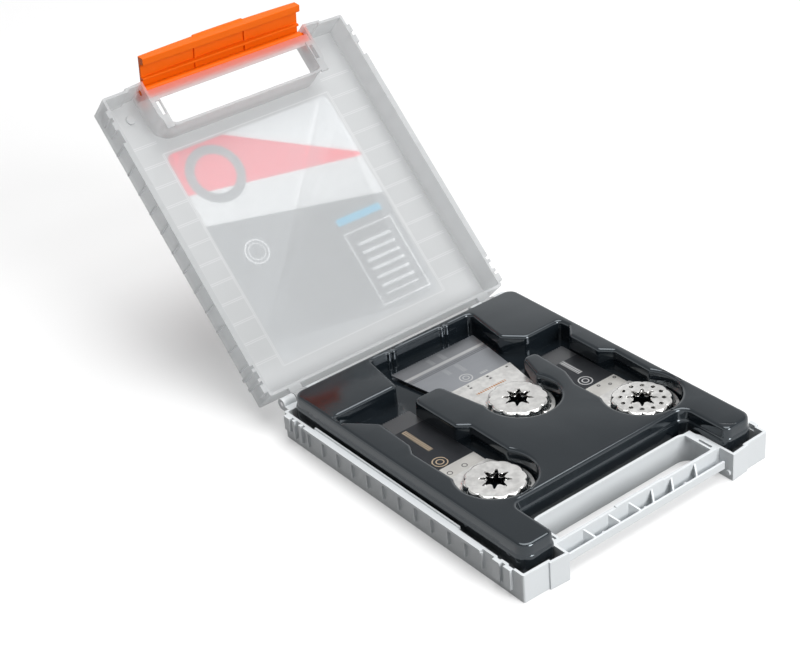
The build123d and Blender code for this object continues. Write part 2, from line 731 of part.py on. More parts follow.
def blade_strip(hub, widths, joint_y, level):
    """Toothed strip along the working edge."""
    x = hub[0]
    tip_y, half = widths[-1]
    count = round(2 * half / tooth_pitch)
    pitch = 2 * half / count
    edge = [(x + blade_half(widths, joint_y), joint_y), (x + half, tip_y - tooth_depth)]
    for i in range(count):
        edge.append((x + half - (i + 0.5) * pitch, tip_y))
        edge.append((x + half - (i + 1) * pitch, tip_y - tooth_depth))
    edge.append((x - blade_half(widths, joint_y), joint_y))
    with BuildPart() as strip:
        with BuildSketch(Plane.XY.offset(level)):
            with BuildLine():
                Polyline(*edge, close=True)
            make_face()
        extrude(amount=blade_thickness)
    return strip


def star_corners():
    """Corners of the star hole about its own middle."""
    radii = [star_tip_radius if i % 2 else star_body_radius for i in range(2 * star_points)]
    return [(r * cos(pi * i / star_points), r * sin(pi * i / star_points)) for i, r in enumerate(radii)]


def blade_hub(hub, widths, neck_y, pin_holes, level):
    """Hub plate with its raised twelve-sided cup, star hole and ring of pin holes."""
    x, y = hub
    low = level + blade_thickness
    face = low + hub_plate_thickness
    slope = (cup_base_radius - cup_top_radius) / cup_rise
    with BuildPart() as part:
        with BuildSketch(Plane.XY.offset(low)):
            with Locations((x, y)):
                Circle(hub_plate_radius)
            half = blade_half(widths, neck_y)
            shoulder = hub_plate_radius * 0.96
            with BuildLine():
                Polyline(
                    (x - shoulder, y + 5.5),
                    (x - half, neck_y),
                    (x + half, neck_y),
                    (x + shoulder, y + 5.5),
                    close=True,
                )
            make_face()
        extrude(amount=hub_plate_thickness)
        for inset, z0, z1, mode in (
            (0.0, face, face + cup_rise, Mode.ADD),
            (cup_wall, low, face + cup_rise - cup_wall, Mode.SUBTRACT),
        ):
            for z in (z0, z1):
                with BuildSketch(Plane.XY.offset(z)):
                    with Locations((x, y)):
                        RegularPolygon(cup_base_radius - inset - slope * (z - face), cup_sides)
            loft(mode=mode)
        with BuildSketch(Plane.XY.offset(face + cup_rise - 2 * cup_wall)):
            with Locations((x, y)):
                with BuildLine():
                    Polyline(*star_corners(), close=True)
                make_face()
        extrude(amount=3 * cup_wall, mode=Mode.SUBTRACT)
        if pin_holes:
            with BuildSketch(Plane.XY.offset(face + cup_rise - 2 * cup_wall)):
                with Locations((x, y)):
                    with PolarLocations(pin_hole_circle, pin_hole_count, start_angle=15):
                        Circle(pin_hole_radius)
            extrude(amount=3 * cup_wall, mode=Mode.SUBTRACT)
    return part


wide_hub = (9.5, 9.5)
wide_widths = ((20.0, 21.4), (29.7, 23.4), (45.6, 26.3), (71.0, 30.1), (88.8, 32.4))
wide_neck_y = 47.0
wide_joint_y = 73.5
left_hub = (-52.5, -41.5)
left_widths = ((-40.0, 13.3), (51.0, 13.3))
left_neck_y = -18.5
left_joint_y = 37.0
right_hub = (59.8, -41.0)
right_widths = ((-40.0, 12.0), (40.0, 12.0))
right_neck_y = -18.0
right_joint_y = 26.0

wide_lower_plate = blade_plate(wide_hub, wide_widths, wide_joint_y, lower_level)
wide_lower_strip = blade_strip(wide_hub, wide_widths, wide_joint_y, lower_level)
wide_lower_hub = blade_hub(wide_hub, wide_widths, wide_neck_y, False, lower_level)
wide_upper_plate = blade_plate(wide_hub, wide_widths, wide_joint_y, upper_level)
wide_upper_strip = blade_strip(wide_hub, wide_widths, wide_joint_y, upper_level)
wide_upper_hub = blade_hub(wide_hub, wide_widths, wide_neck_y, False, upper_level)
left_lower_plate = blade_plate(left_hub, left_widths, left_joint_y, lower_level)
left_lower_strip = blade_strip(left_hub, left_widths, left_joint_y, lower_level)
left_lower_hub = blade_hub(left_hub, left_widths, left_neck_y, False, lower_level)
left_upper_plate = blade_plate(left_hub, left_widths, left_joint_y, upper_level)
left_upper_strip = blade_strip(left_hub, left_widths, left_joint_y, upper_level)
left_upper_hub = blade_hub(left_hub, left_widths, left_neck_y, False, upper_level)
right_lower_plate = blade_plate(right_hub, right_widths, right_joint_y, lower_level)
right_lower_strip = blade_strip(right_hub, right_widths, right_joint_y, lower_level)
right_lower_hub = blade_hub(right_hub, right_widths, right_neck_y, True, lower_level)
right_upper_plate = blade_plate(right_hub, right_widths, right_joint_y, upper_level)
right_upper_strip = blade_strip(right_hub, right_widths, right_joint_y, upper_level)
right_upper_hub = blade_hub(right_hub, right_widths, right_neck_y, True, upper_level)

# ------------------------------------------------------------------ stored pose
with BuildPart() as lid_shell:
    add(lid_closed.part.rotate(hinge_axis, -lid_open_angle))
with BuildPart() as label_sheet:
    add(label_closed.part.rotate(hinge_axis, -lid_open_angle))
with BuildPart() as latch:
    add(latch_closed.part.rotate(latch_axis, -latch_open_rest).rotate(hinge_axis, -lid_open_angle))
hinge_pin_left = hinge_pin(-1)
hinge_pin_right = hinge_pin(1)

os.makedirs("parts", exist_ok=True)
base_final.part.label = "base_shell"
lid_shell.part.label = "lid_shell"
hinge_pin_left.part.label = "hinge_pin_left"
hinge_pin_right.part.label = "hinge_pin_right"
latch.part.label = "latch"
label_sheet.part.label = "label_sheet"
blade_tray.part.label = "blade_tray"
wide_lower_plate.part.label = "wide_lower_plate"
wide_lower_strip.part.label = "wide_lower_strip"
wide_lower_hub.part.label = "wide_lower_hub"
wide_upper_plate.part.label = "wide_upper_plate"
wide_upper_strip.part.label = "wide_upper_strip"
wide_upper_hub.part.label = "wide_upper_hub"
left_lower_plate.part.label = "left_lower_plate"
left_lower_strip.part.label = "left_lower_strip"
left_lower_hub.part.label = "left_lower_hub"
left_upper_plate.part.label = "left_upper_plate"
left_upper_strip.part.label = "left_upper_strip"
left_upper_hub.part.label = "left_upper_hub"
right_lower_plate.part.label = "right_lower_plate"
right_lower_strip.part.label = "right_lower_strip"
right_lower_hub.part.label = "right_lower_hub"
right_upper_plate.part.label = "right_upper_plate"
right_upper_strip.part.label = "right_upper_strip"
right_upper_hub.part.label = "right_upper_hub"
export_step(base_final.part, "parts/base_shell.step")
export_step(lid_shell.part, "parts/lid_shell.step")
export_step(hinge_pin_left.part, "parts/hinge_pin_left.step")
export_step(hinge_pin_right.part, "parts/hinge_pin_right.step")
export_step(latch.part, "parts/latch.step")
export_step(label_sheet.part, "parts/label_sheet.step")
export_step(blade_tray.part, "parts/blade_tray.step")
export_step(wide_lower_plate.part, "parts/wide_lower_plate.step")
export_step(wide_lower_strip.part, "parts/wide_lower_strip.step")
export_step(wide_lower_hub.part, "parts/wide_lower_hub.step")
export_step(wide_upper_plate.part, "parts/wide_upper_plate.step")
export_step(wide_upper_strip.part, "parts/wide_upper_strip.step")
export_step(wide_upper_hub.part, "parts/wide_upper_hub.step")
export_step(left_lower_plate.part, "parts/left_lower_plate.step")
export_step(left_lower_strip.part, "parts/left_lower_strip.step")
export_step(left_lower_hub.part, "parts/left_lower_hub.step")
export_step(left_upper_plate.part, "parts/left_upper_plate.step")
export_step(left_upper_strip.part, "parts/left_upper_strip.step")
export_step(left_upper_hub.part, "parts/left_upper_hub.step")
export_step(right_lower_plate.part, "parts/right_lower_plate.step")
export_step(right_lower_strip.part, "parts/right_lower_strip.step")
export_step(right_lower_hub.part, "parts/right_lower_hub.step")
export_step(right_upper_plate.part, "parts/right_upper_plate.step")
export_step(right_upper_strip.part, "parts/right_upper_strip.step")
export_step(right_upper_hub.part, "parts/right_upper_hub.step")
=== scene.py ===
"""Looks for the saw blade storage case.

Finishes, formed tray, stamped hubs, printed sheet and studio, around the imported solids.
"""

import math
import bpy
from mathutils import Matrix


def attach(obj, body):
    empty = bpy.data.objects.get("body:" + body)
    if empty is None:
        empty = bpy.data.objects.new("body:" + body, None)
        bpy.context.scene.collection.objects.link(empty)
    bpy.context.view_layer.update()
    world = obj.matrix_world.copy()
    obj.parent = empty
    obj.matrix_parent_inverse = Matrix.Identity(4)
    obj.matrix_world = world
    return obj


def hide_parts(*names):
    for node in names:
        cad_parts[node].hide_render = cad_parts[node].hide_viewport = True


bl_info = {
    "name": "Saw blade storage case",
    "version": (1, 0, 0),
    "blender": (4, 5, 0),
    "location": "View3D > Sidebar > Blade case",
    "description": "Builds the looks of a saw blade storage case around its packed solids",
    "category": "Add Mesh",
}

import bmesh
import bpy
import numpy as np
from bpy.props import FloatProperty, FloatVectorProperty, PointerProperty
from mathutils import Matrix, Vector

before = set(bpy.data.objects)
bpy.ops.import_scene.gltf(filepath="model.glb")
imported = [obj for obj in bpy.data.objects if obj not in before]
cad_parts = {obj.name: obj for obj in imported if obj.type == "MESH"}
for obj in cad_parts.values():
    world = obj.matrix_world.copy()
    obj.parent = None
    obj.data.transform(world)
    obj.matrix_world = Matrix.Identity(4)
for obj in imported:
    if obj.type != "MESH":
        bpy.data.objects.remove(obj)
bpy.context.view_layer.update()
MM = 0.001
PI = math.pi

# ------------------------------------------------------------------ sizes, in millimetres
HINGE_Y, HINGE_Z = 111.1, 17.7
LID_OPEN = math.radians(136.0)
LID_TOP = 39.5

TRAY_TOP = 28.1
TRAY_SEAT = 3.0
TRAY_STEP = 21.1
POCKET_FLOOR = 15.0
TRAY_SHEET = 0.9
# outline of the joined pockets, clockwise: corners (x, y, radius) and
# well arcs (x, y, radius, from, to)
POCKET_PATH = (
    (-31.3, 98.2, 4), (-17.9, 98.0, 0.5), (-17.3, 96.7, 0.5), (-16.2, 96.7, 0.5), (-15.6, 98.0, 0.5),
    (-14.2, 98.0, 0.5), (-13.6, 96.7, 0.5), (-12.5, 96.7, 0.5), (-11.9, 97.9, 0.5),
    (23.0, 97.4, 0.5), (23.6, 96.1, 0.5), (24.7, 96.1, 0.5), (25.3, 97.4, 0.5),
    (27.0, 97.3, 0.5), (27.6, 96.0, 0.5), (28.7, 96.0, 0.5), (29.3, 97.3, 0.5),
    (48.1, 97.0, 4), (43.0, 62.5, 3), (53.5, 50.9, 3), (80.5, 51.0, 3),
    (81.4, 42.0, 2), (73.9, 33.0, 2), (73.8, 9.5, 2), (80.3, 2.0, 2),
    (59.4, -41.0, 24.0, 33.5, -210.0),
    (38.3, -8.0, 2), (43.7, 6.0, 2), (44.6, 33.0, 3), (36.5, 33.6, 2.5),
    (9.0, 5.6, 23.8, 24.6, -194.8),
    (-20.0, 45.2, 4), (-38.6, 45.6, 4), (-38.3, 8.5, 2), (-31.9, 2.5, 2),
    (-52.3, -41.5, 23.8, 31.4, -211.4),
    (-73.4, 4.0, 2), (-69.4, 11.5, 2), (-68.4, 40.0, 2.5), (-75.9, 48.4, 2), (-83.6, 56.5, 3),
    (-82.6, 65.0, 3), (-37.0, 65.0, 3),
)
TRAY_PATH = (
    (-85.0, -100.6, 6), (-65.2, -100.6, 3.0), (-65.2, -67.7, 7), (65.2, -67.7, 7),
    (65.2, -100.6, 3.0), (85.0, -100.6, 6), (85.0, 100.6, 6), (-85.0, 100.6, 6),
)

BLADE = 0.9
HUB_PLATE = 1.2
CUP_RISE = 4.7
CUP_WALL = 1.1
LOWER_LEVEL = 15.2
UPPER_LEVEL = 17.9
CUP_LOBES = 12
STAR_RAYS = 8
HUB_RADIUS = 21.6
HUB_POINTS = 720
STAR_BODY, STAR_RAY = 5.4, 3.8      # radius of the star's body, and its rays' reach beyond it
PIN_HOLES, PIN_CIRCLE, PIN_HOLE = 12, 12.5, 1.35
# each family's hub centre, and its neck's outline about that centre
HUBS = {
    "wide": (
        (9.5, 9.5),
        ((-21.4, 5.5), (-23.4, 20.2), (-26.6, 37.5), (26.6, 37.5), (23.4, 20.2), (21.4, 5.5)),
    ),
    "left": ((-52.5, -41.5), ((-20.8, 5.5), (-13.3, 23.0), (13.3, 23.0), (20.8, 5.5))),
    "right": ((59.8, -41.0), ((-20.8, 5.5), (-12.0, 23.0), (12.0, 23.0), (20.8, 5.5))),
}

LABEL_HALF_WIDTH = 62.5
LABEL_FRONT, LABEL_BACK = -65.4, 85.6
LABEL_LEVEL = 38.9
LABEL_THICKNESS = 0.4

PIVOT_Y, PIVOT_Z = -104.9, 25.0     # the latch's pivot on the shut lid
# the orange glow painted on the lid's walls near the latch: its reach from the pivot and along the
# latch
PAINTED_GLOW_REACH = (4.0, 14.0)            # from the pivot: full glow, no glow
PAINTED_GLOW_SIDE = (60.0, 66.0)            # the glow fades out past the latch's ends

# cross ribs and recess on the outside of the lid's panel
RUNG_FIRST, RUNG_PITCH, RUNG_COUNT = -75.7, 14.1, 12
RUNG_END = 87.0
RECESS_X = 64.0
RECESS_Y = (-66.9, 87.1)

EYE = (-542.0, -641.7, 589.4)
EYE_RIGHT = (0.7800, -0.6212, -0.0757)
EYE_DOWN = (-0.3731, -0.3644, -0.8533)
EYE_AHEAD = (0.5025, 0.6938, -0.5159)
LENS = 79.23


# ------------------------------------------------------------------ settings
class CaseSizes(bpy.types.PropertyGroup):
    shell_edge: FloatProperty(
        name="Shell edge", description="Rounding of the moulded edges", default=0.0003, unit="LENGTH"
    )
    latch_edge: FloatProperty(
        name="Latch edge", description="Rounding of the latch's edges", default=0.0004, unit="LENGTH"
    )
    tray_edge: FloatProperty(
        name="Tray edge", description="Rounding of the formed tray's upper edges",
        default=0.0010, unit="LENGTH",
    )
    path_step: FloatProperty(
        name="Path step", description="Spacing of points along the tray's outlines",
        default=0.0005, unit="LENGTH",
    )


class CaseColours(bpy.types.PropertyGroup):
    shell: FloatVectorProperty(
        name="Shell", description="Grey of the base",
        subtype="COLOR", size=3, default=(0.60, 0.625, 0.64),
    )
    lid: FloatVectorProperty(
        name="Lid", description="Frosted lid",
        subtype="COLOR", size=3, default=(0.60, 0.61, 0.615),
    )
    latch: FloatVectorProperty(
        name="Latch", description="Orange of the latch",
        subtype="COLOR", size=3, default=(0.78, 0.125, 0.001),
    )
    tray: FloatVectorProperty(
        name="Tray", description="Black of the formed tray",
        subtype="COLOR", size=3, default=(0.0065, 0.0092, 0.0118),
    )
    steel: FloatVectorProperty(
        name="Steel", description="Stamped hub steel",
        subtype="COLOR", size=3, default=(0.74, 0.735, 0.72),
    )


# ------------------------------------------------------------------ shader helpers
class Value:
    """A shader socket that takes Python's operators; each one adds a Math node."""

    def __init__(self, finish, socket):
        self.finish = finish
        self.socket = socket

    def _math(self, operation, first, second):
        return self.finish.node("ShaderNodeMath", {"operation": operation}, {0: first, 1: second})

    def __add__(self, other):
        return self._math("ADD", self, other)

    __radd__ = __add__

    def __sub__(self, other):
        return self._math("SUBTRACT", self, other)

    def __rsub__(self, other):
        return self._math("SUBTRACT", other, self)

    def __mul__(self, other):
        return self._math("MULTIPLY", self, other)

    __rmul__ = __mul__

    def __truediv__(self, other):
        return self._math("DIVIDE", self, other)

    def __abs__(self):
        return self._math("ABSOLUTE", self, 0.0)

    def over(self, limit):
        """1 where the value is greater than limit, else 0."""
        return self._math("GREATER_THAN", self, limit)

    def under(self, limit):
        """1 where the value is less than limit, else 0."""
        return self._math("LESS_THAN", self, limit)

    def both(self, other):
        """The smaller of two masks."""
        return self._math("MINIMUM", self, other)

    def either(self, other):
        """The larger of two masks."""
        return self._math("MAXIMUM", self, other)

    def step(self, low, high):
        """Smooth ramp from 0 at low to 1 at high."""
        return self.finish.node(
            "ShaderNodeMapRange",
            {"interpolation_type": "SMOOTHSTEP"},
            {"Value": self, "From Min": low, "From Max": high, "To Min": 0.0, "To Max": 1.0},
        )

    def spread(self, low, high):
        """The value, 0 to 1, spread over low to high."""
        return self * (high - low) + low


class Finish:
    """One material and the nodes that make it."""

    def __init__(self, name):
        self.material = bpy.data.materials.new(name)
        self.material.use_nodes = True
        self.tree = self.material.node_tree
        self.tree.nodes.clear()

    def node(self, kind, settings=None, inputs=None, out=0):
        """Adds a node: its settings first, then the values or links of its sockets."""
        made = self.tree.nodes.new(kind)
        for key, value in (settings or {}).items():
            setattr(made, key, value)
        for key, value in (inputs or {}).items():
            if isinstance(value, Value):
                self.tree.links.new(value.socket, made.inputs[key])
            else:
                made.inputs[key].default_value = value
        return Value(self, made.outputs[out]) if len(made.outputs) else None

    def place(self):
        """Object coordinates, in metres of the row's frame."""
        return self.node("ShaderNodeTexCoord", out=3)

    def shut_place(self, vector):
        """Object coordinates turned back about the hinge to the shut lid, in millimetres."""
        x, y, z = [part * 1000.0 for part in self.split(vector)]
        y, z = y - HINGE_Y, z - HINGE_Z
        c, s = math.cos(LID_OPEN), math.sin(LID_OPEN)
        return x, y * c - z * s + HINGE_Y, z * c + y * s + HINGE_Z

    def facing(self):
        """How far the surface faces up, from -1 to 1, in object space."""
        return self.split(self.node("ShaderNodeTexCoord", out=1))[2]

    def split(self, vector):
        """The three parts of a vector."""
        made = self.node("ShaderNodeSeparateXYZ", None, {0: vector})
        sockets = made.socket.node.outputs
        return [Value(self, sockets[i]) for i in range(3)]

    def stretched(self, vector, scale):
        """The vector with each of its parts scaled."""
        return self.node("ShaderNodeMapping", None, {"Vector": vector, "Scale": scale})

    def noise(self, vector, scale, detail=2.0):
        """Soft noise from 0 to 1."""
        return self.node(
            "ShaderNodeTexNoise", None, {"Vector": vector, "Scale": scale, "Detail": detail}
        )

    def mix(self, factor, first, second):
        """Colour between first and second."""
        return self.node(
            "ShaderNodeMix", {"data_type": "RGBA"}, {0: factor, 6: rgba(first), 7: rgba(second)}, out=2
        )

    def fraction(self, value):
        """What is left of the value above its whole part."""
        return self.node("ShaderNodeMath", {"operation": "FRACT"}, {0: value})

    def box(self, x, y, x0, x1, y0, y1):
        """Mask of a rectangle."""
        return x.over(x0).both(x.under(x1)).both(y.over(y0)).both(y.under(y1))

    def bars(self, x, y, box, pitch, duty):
        """Mask of short bars across a rectangle, repeating along y."""
        return self.box(x, y, *box).both(self.fraction(y / pitch).under(duty))

    def rings(self, x, y, first, pitch, count, radius, width):
        """Mask of a row of thin rings that starts at first and repeats along x."""
        across = (self.fraction((x - first[0]) / pitch + 0.5) - 0.5) * pitch
        away = across * across + (y - first[1]) * (y - first[1])
        ring = away.under((radius + width) ** 2).both(away.over((radius - width) ** 2))
        return ring.both(x.over(first[0] - pitch / 2)).both(x.under(first[0] + (count - 0.5) * pitch))

    def marked(self, tone, x, y, marks):
        """The tone with its marks: rings, bars that repeat along y and ticks that repeat along x."""
        x, y = x * 1000.0, y * 1000.0
        for kind, ink, *shape in marks:
            if kind == "rings":
                mask = self.rings(x, y, *shape)
            elif kind == "bars":
                mask = self.bars(x, y, *shape)
            else:
                mask = self.bars(y, x, *shape)
            tone = self.mix(mask, tone, ink)
        return tone

    def bump(self, height, distance, strength):
        """A normal bent by the height; the distance is in metres."""
        return self.node(
            "ShaderNodeBump", None, {"Height": height, "Distance": distance, "Strength": strength}
        )

    def surface(self, inputs):
        """A Principled shader with these sockets."""
        return self.node("ShaderNodeBsdfPrincipled", None, inputs)

    def done(self, shader):
        """The material, with this shader as its surface."""
        self.node("ShaderNodeOutputMaterial", None, {"Surface": shader})
        return self.material


def rgba(colour):
    """A colour tuple with alpha, or a link as it is."""
    if isinstance(colour, Value):
        return colour
    return tuple(colour) + (1.0,) if len(colour) == 3 else tuple(colour)


def tint(colour, factor):
    """The colour made lighter or darker by a factor."""
    return tuple(min(1.0, c * factor) for c in colour[:3])


# ------------------------------------------------------------------ finishes
def moulded_plastic(name, colour, roughness=0.42, mottle=0.03, grain=0.00003, shine=0.5):
    """Injection-moulded plastic: faint flow mottling, fine spark texture and a soft shine."""
    f = Finish(name)
    at = f.place()
    flow = f.noise(at, 28.0, 3.0)
    fine = f.noise(at, 2600.0, 2.0)
    tone = f.mix(flow, tint(colour, 1.0 - mottle), tint(colour, 1.0 + mottle))
    return f.done(
        f.surface(
            {
                "Base Color": tone,
                "Roughness": flow.spread(roughness - 0.05, roughness + 0.07),
                "Specular IOR Level": shine,
                "IOR": 1.49,
                "Normal": f.bump(fine, grain, 0.6),
            }
        )
    )


def frosted_plastic(name, colour):
    """Frosted clear plastic: milky, partly see-through, with light that soaks through from behind.

    Its tones follow the shut lid, and much of them is painted light: the walls are painted lighter
    than the panel, the end near the hinge is painted lighter against its shade, thin pale lines painted
    at the steps and cross ribs on the panel's far side stand for highlights on their edges, and the
    walls near the latch's pivot are painted orange and glow as if the latch shone through them.
    """
    f = Finish(name)
    at = f.place()
    cloud = f.noise(at, 22.0, 3.0)
    fine = f.noise(at, 1800.0, 2.0)
    x, y, z = f.shut_place(at)
    side = abs(x)
    panel = z.step(LID_TOP - 7.0, LID_TOP - 2.2)
    sideways_painted_light = abs(f.split(f.node("ShaderNodeTexCoord", out=1))[0])
    milk = f.mix(cloud, tint(colour, 0.98), tint(colour, 1.02))
    # painted light: faces that turn sideways, the walls, are painted lighter than the panel
    milk = f.mix(sideways_painted_light.step(0.5, 0.95), milk, tint(colour, 1.6))
    # painted light: the lid is painted lighter towards the hinge's end, against the shade that falls
    # there
    milk = f.mix(y.step(70.0, 100.0), milk, tint(colour, 1.2))
    # painted highlights: thin pale lines at the edges of the cross ribs and of the recess on the
    # panel's far side, as if they caught the light through the panel
    row = (y - RUNG_FIRST) / RUNG_PITCH
    off = abs(f.fraction(row + 0.5) - 0.5) * RUNG_PITCH
    rung = 1.0 - abs(off - 0.6).step(0.1, 0.4)
    rung = rung.both(f.box(side, row, RECESS_X, RUNG_END, -0.2, RUNG_COUNT - 0.8))
    brim = 1.0 - abs(abs(side - RECESS_X) - 0.5).step(0.1, 0.4)
    brim = brim.both(f.box(side, y, 0.0, 90.0, *RECESS_Y))
    front, back = (1.0 - abs(y - end).step(0.2, 0.6) for end in RECESS_Y)
    ends = front.either(back)
    lines = rung.either(brim).either(ends.both(side.under(RECESS_X))).both(panel)
    milk = f.mix(lines * 0.8, milk, (0.85, 0.86, 0.865))
    # painted glow: the walls that stand near the latch's pivot are painted orange, and given an orange
    # emission below, as if the latch shone through them
    y, z = y - PIVOT_Y, z - PIVOT_Z
    away = f.node("ShaderNodeMath", {"operation": "SQRT"}, {0: y * y + z * z})
    near = (1.0 - away.step(*PAINTED_GLOW_REACH)) * (1.0 - side.step(*PAINTED_GLOW_SIDE))
    milk = f.mix(near * 0.9, milk, (0.92, 0.12, 0.05))
    bump = f.bump(fine, 0.00003, 0.5)
    skin = f.surface(
        {
            "Base Color": milk,
            "Roughness": cloud.spread(0.36, 0.46),
            "IOR": 1.49,
            "Normal": bump,
            # the painted orange glow near the latch's pivot also emits light
            "Emission Color": f.mix(near, (0.0, 0.0, 0.0), (0.25, 0.03, 0.01)),
            "Emission Strength": 1.0,
        }
    )
    soak = f.node(
        "ShaderNodeBsdfTranslucent", None, {"Color": rgba(tint(colour, 1.05)), "Normal": bump}
    )
    body = f.node("ShaderNodeMixShader", None, {0: 0.5, 1: skin, 2: soak})
    clear = f.node("ShaderNodeBsdfTransparent", None, {"Color": (0.97, 0.975, 0.98, 1.0)})
    return f.done(f.node("ShaderNodeMixShader", None, {0: 0.38 - panel * 0.08, 1: body, 2: clear}))


def tray_plastic(name, colour):
    """Thin formed sheet: deep gloss with a faint orange peel and dust-fine wear."""
    f = Finish(name)
    at = f.place()
    peel = f.noise(at, 160.0, 2.0)
    wear = f.noise(at, 60.0, 4.0)
    return f.done(
        f.surface(
            {
                "Base Color": f.mix(wear, tint(colour, 0.85), tint(colour, 1.2)),
                "Roughness": wear.spread(0.08, 0.13),
                "IOR": 1.66,
                "Specular Tint": (0.86, 0.94, 1.0, 1.0),
                "Normal": f.bump(peel, 0.00003, 0.4),
            }
        )
    )


def stamped_steel(name, colour, roughness=0.3):
    """Tumbled, stamped steel: fine pitting, bright and slightly uneven."""
    f = Finish(name)
    at = f.place()
    pits = f.noise(at, 900.0, 3.0)
    cloud = f.noise(at, 90.0, 3.0)
    return f.done(
        f.surface(
            {
                "Base Color": f.mix(cloud, tint(colour, 0.92), tint(colour, 1.06)),
                "Metallic": 1.0,
                "Roughness": cloud.spread(roughness - 0.06, roughness + 0.08),
                "Normal": f.bump(pits, 0.00002, 0.35),
            }
        )
    )


def polished_hub(name, colour, marks=()):
    """Stamped hub: satin on the flats, bright and rolled smooth on the drawn slopes."""
    f = Finish(name)
    at = f.place()
    x, y, _ = f.split(at)
    flat = f.facing().step(0.93, 0.995)
    cloud = f.noise(at, 260.0, 4.0)
    pits = f.noise(at, 1500.0, 3.0)
    tone = f.mix(cloud.step(0.3, 0.7), tint(colour, 0.86), tint(colour, 1.08))
    return f.done(
        f.surface(
            {
                "Base Color": f.marked(tone, x, y, marks),
                "Metallic": 1.0,
                "Roughness": flat * 0.2 + cloud * 0.12 + 0.06,
                "Normal": f.bump(pits, 0.00002, 0.4),
            }
        )
    )


def ground_steel(name, colour, bright, turn_y, marks=(), roughness=0.34):
    """Ground blade steel: fine lines across it, bright near the hub and blued beyond turn_y."""
    f = Finish(name)
    at = f.place()
    x, y, _ = f.split(at)
    lines = f.noise(f.stretched(at, (60.0, 2600.0, 60.0)), 1.0, 2.0)
    cloud = f.noise(at, 70.0, 3.0)
    zone = y.over(turn_y * MM)
    tone = f.mix(zone, f.mix(cloud, tint(bright, 0.7), tint(bright, 1.1)), colour)
    tone = f.marked(tone, x, y, marks)
    shade = f.mix(lines, (0.86, 0.86, 0.86), (1.0, 1.0, 1.0))
    mixed = f.node(
        "ShaderNodeMix",
        {"data_type": "RGBA", "blend_type": "MULTIPLY"},
        {0: 1.0, 6: tone, 7: shade},
        out=2,
    )
    return f.done(
        f.surface(
            {
                "Base Color": mixed,
                "Metallic": 1.0,
                "Roughness": cloud.spread(roughness - 0.05, roughness + 0.1),
                "Normal": f.bump(lines, 0.00001, 0.4),
            }
        )
    )


def printed_sheet(name):
    """Printed film on its own UV map: u across, v from the handle's end to the hinge's end."""
    f = Finish(name)
    u, v, _ = f.split(f.node("ShaderNodeUVMap", {"uv_map": "sheet"}))
    x = u * (2 * LABEL_HALF_WIDTH) - LABEL_HALF_WIDTH
    y = v * (LABEL_BACK - LABEL_FRONT) + LABEL_FRONT
    at = f.place()
    paper, pale, dark = (0.80, 0.81, 0.82), (0.70, 0.705, 0.71), (0.15, 0.16, 0.17)
    coral, cyan = (0.92, 0.045, 0.07), (0.03, 0.42, 0.70)
    # a coral band at the handle's end, a pale band below it, and a dark block down to the hinge's end
    colour = f.mix((y - x * 0.14).step(-27.2, -26.8), coral, pale)
    colour = f.mix((y - x * 0.54).step(-55.0, -54.6), paper, colour)
    colour = f.mix(f.rings(x, y, (-38.0, -43.0), 200.0, 1, 17.0, 3.2), colour, dark)
    colour = f.mix((y - x * 0.19).step(-1.7, -1.4), colour, dark)
    colour = f.mix(f.box(x, y, 20.0, 55.0, 15.5, 20.5), colour, cyan)
    for radius, width in ((8.0, 0.45), (5.6, 0.3)):
        colour = f.mix(f.rings(x, y, (-40.0, 14.0), 200.0, 1, radius, width), colour, paper)
    # a plain outlined panel with rules in it
    px, py = abs(x - 39.0) - 19.0, abs(y - 53.0) - 26.5
    edge = px.either(py)
    colour = f.mix((edge + 0.9).step(0.0, 0.3) * (1.0 - edge.step(0.0, 0.3)), colour, paper)
    rules = f.fraction(y / 6.2).over(0.68).both(px.under(-6.0)).both(py.under(-6.0))
    colour = f.mix(rules, colour, paper)
    # painted light: on the sheet's inner side the print is painted paler and given an emission of its
    # own, standing in for the light that soaks through it
    inner = f.facing().step(0.1, 0.2)
    painted_backlight = f.node("ShaderNodeGamma", None, {"Color": colour, "Gamma": 0.5})
    colour = f.mix(inner, colour, painted_backlight)
    fleck = f.noise(at, 1400.0, 1.0)
    return f.done(
        f.surface(
            {
                "Base Color": colour,
                # painted light: the inner side's paler print also glows
                "Emission Color": f.mix(inner, (0.0, 0.0, 0.0), painted_backlight),
                "Emission Strength": 0.62,
                "Roughness": fleck.spread(0.38, 0.46),
                "IOR": 1.5,
                "Normal": f.bump(fleck, 0.00001, 0.2),
            }
        )
    )


def studio_floor(name):
    """Plain pale floor that keeps its shadows; its own light takes it to white in the camera."""
    f = Finish(name)
    paint = f.node("ShaderNodeBsdfDiffuse", None, {"Color": (0.25, 0.25, 0.25, 1.0)})
    veil = f.node("ShaderNodeBsdfDiffuse", None, {"Color": (0.58, 0.58, 0.58, 1.0)})
    glow = f.node("ShaderNodeEmission", None, {"Color": (1.0, 1.0, 1.0, 1.0), "Strength": 0.34})
    lift = f.node("ShaderNodeAddShader", None, {0: veil, 1: glow})
    rays = f.tree.nodes.new("ShaderNodeLightPath")
    seen = Value(f, rays.outputs["Is Camera Ray"]).either(Value(f, rays.outputs["Is Glossy Ray"]))
    seen = seen.either(Value(f, rays.outputs["Is Transmission Ray"]))
    return f.done(f.node("ShaderNodeMixShader", None, {0: seen, 1: paint, 2: lift}))


